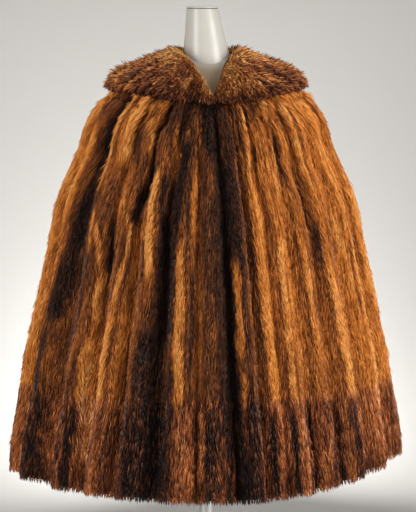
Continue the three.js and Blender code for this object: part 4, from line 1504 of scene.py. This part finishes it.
class Room:
    """A pale floor that sweeps up into a backdrop, and soft studio lights."""

    colour = (0.56, 0.545, 0.52, 1.0)
    daylight, daylight_strength = (1.0, 0.99, 0.97, 1.0), 0.2
    front, reach, half_width, wall_height = -9.0, 3.2, 7.0, 6.0
    bend = 1.4
    bend_steps = 15

    def paper(self) -> bpy.types.Material:
        """Make the matt paper, which shows its front side only."""
        graph = Graph("paper", {"Base Color": self.colour, "Roughness": 0.9})
        front = graph.add("ShaderNodeMath")
        front.operation = "SUBTRACT"
        front.inputs[0].default_value = 1.0
        graph.link(graph.add("ShaderNodeNewGeometry"), "Backfacing", front, 1)
        graph.link(front, "Value", graph.shader, "Alpha")
        return graph.material

    def build(self) -> None:
        """Make the sweep, the lamps and the world's light."""
        foot, bend = self.reach - self.bend, self.bend
        turns = [math.radians(90 * step / self.bend_steps) for step in range(1, self.bend_steps + 1)]
        profile = [(self.front, 0.0), (foot, 0.0)]
        profile += [(foot + bend * math.sin(turn), bend - bend * math.cos(turn)) for turn in turns]
        profile.append((self.reach, self.wall_height))
        bm, _, edges = outlined([(-self.half_width, ahead, up) for ahead, up in profile])
        widened = bmesh.ops.extrude_edge_only(bm, edges=edges)["geom"]
        moved = [part for part in widened if isinstance(part, bmesh.types.BMVert)]
        bmesh.ops.translate(bm, verts=moved, vec=(2 * self.half_width, 0, 0))
        bm.normal_update()
        bm.faces.ensure_lookup_table()
        if bm.faces[0].normal.z < 0:
            bmesh.ops.reverse_faces(bm, faces=bm.faces[:])
        made(bm, "sweep", self.paper())
        for lamp in LAMPS:
            lamp.hang()
        world = bpy.data.worlds.new("studio")
        world.use_nodes = True
        background = world.node_tree.nodes["Background"]
        background.inputs["Color"].default_value = self.daylight
        background.inputs["Strength"].default_value = self.daylight_strength
        bpy.context.scene.world = world


class Viewpoint:
    """The photograph's camera: level with the neck's top, a little to the left of the front."""

    azimuth, distance, height = -8.0, 5.4, 1.44
    metres_a_pixel = 0.00215
    frame_height = 512
    aim_height = 0.917
    aim_right = 0.0032
    sensor = 36.0

    def build(self) -> None:
        """Make the camera and let the scene use it."""
        turn = math.radians(self.azimuth)
        right = Vector((math.cos(turn), math.sin(turn), 0))
        ahead = Vector((-math.sin(turn), math.cos(turn), 0))
        eye = ahead * -self.distance + Vector((0, 0, self.height)) + right * self.aim_right
        target = right * self.aim_right + Vector((0, 0, self.aim_height))
        camera = bpy.data.cameras.new("view")
        camera.sensor_fit = "VERTICAL"
        camera.sensor_height = self.sensor
        camera.lens = self.distance / self.metres_a_pixel * self.sensor / self.frame_height
        camera.clip_end = 60.0
        bpy.context.scene.camera = hang_up("view", camera, eye, target)


def corners(box: tuple[Vector, Vector]) -> list[list[float]]:
    """Return a box as plain lists."""
    return [[float(number) for number in corner] for corner in box]


def main() -> None:
    """Build the cape around the frame."""
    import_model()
    Viewpoint().build()
    drape = Drape()
    Cape(drape).build()
    DressForm(drape).build()
    Stand().build()
    Room().build()
    settings = bpy.context.scene.view_settings
    settings.view_transform, settings.look = "Standard", "None"


if __name__ == "__main__":
    logging.basicConfig(level=logging.INFO, format="%(name)s: %(message)s")
    main()
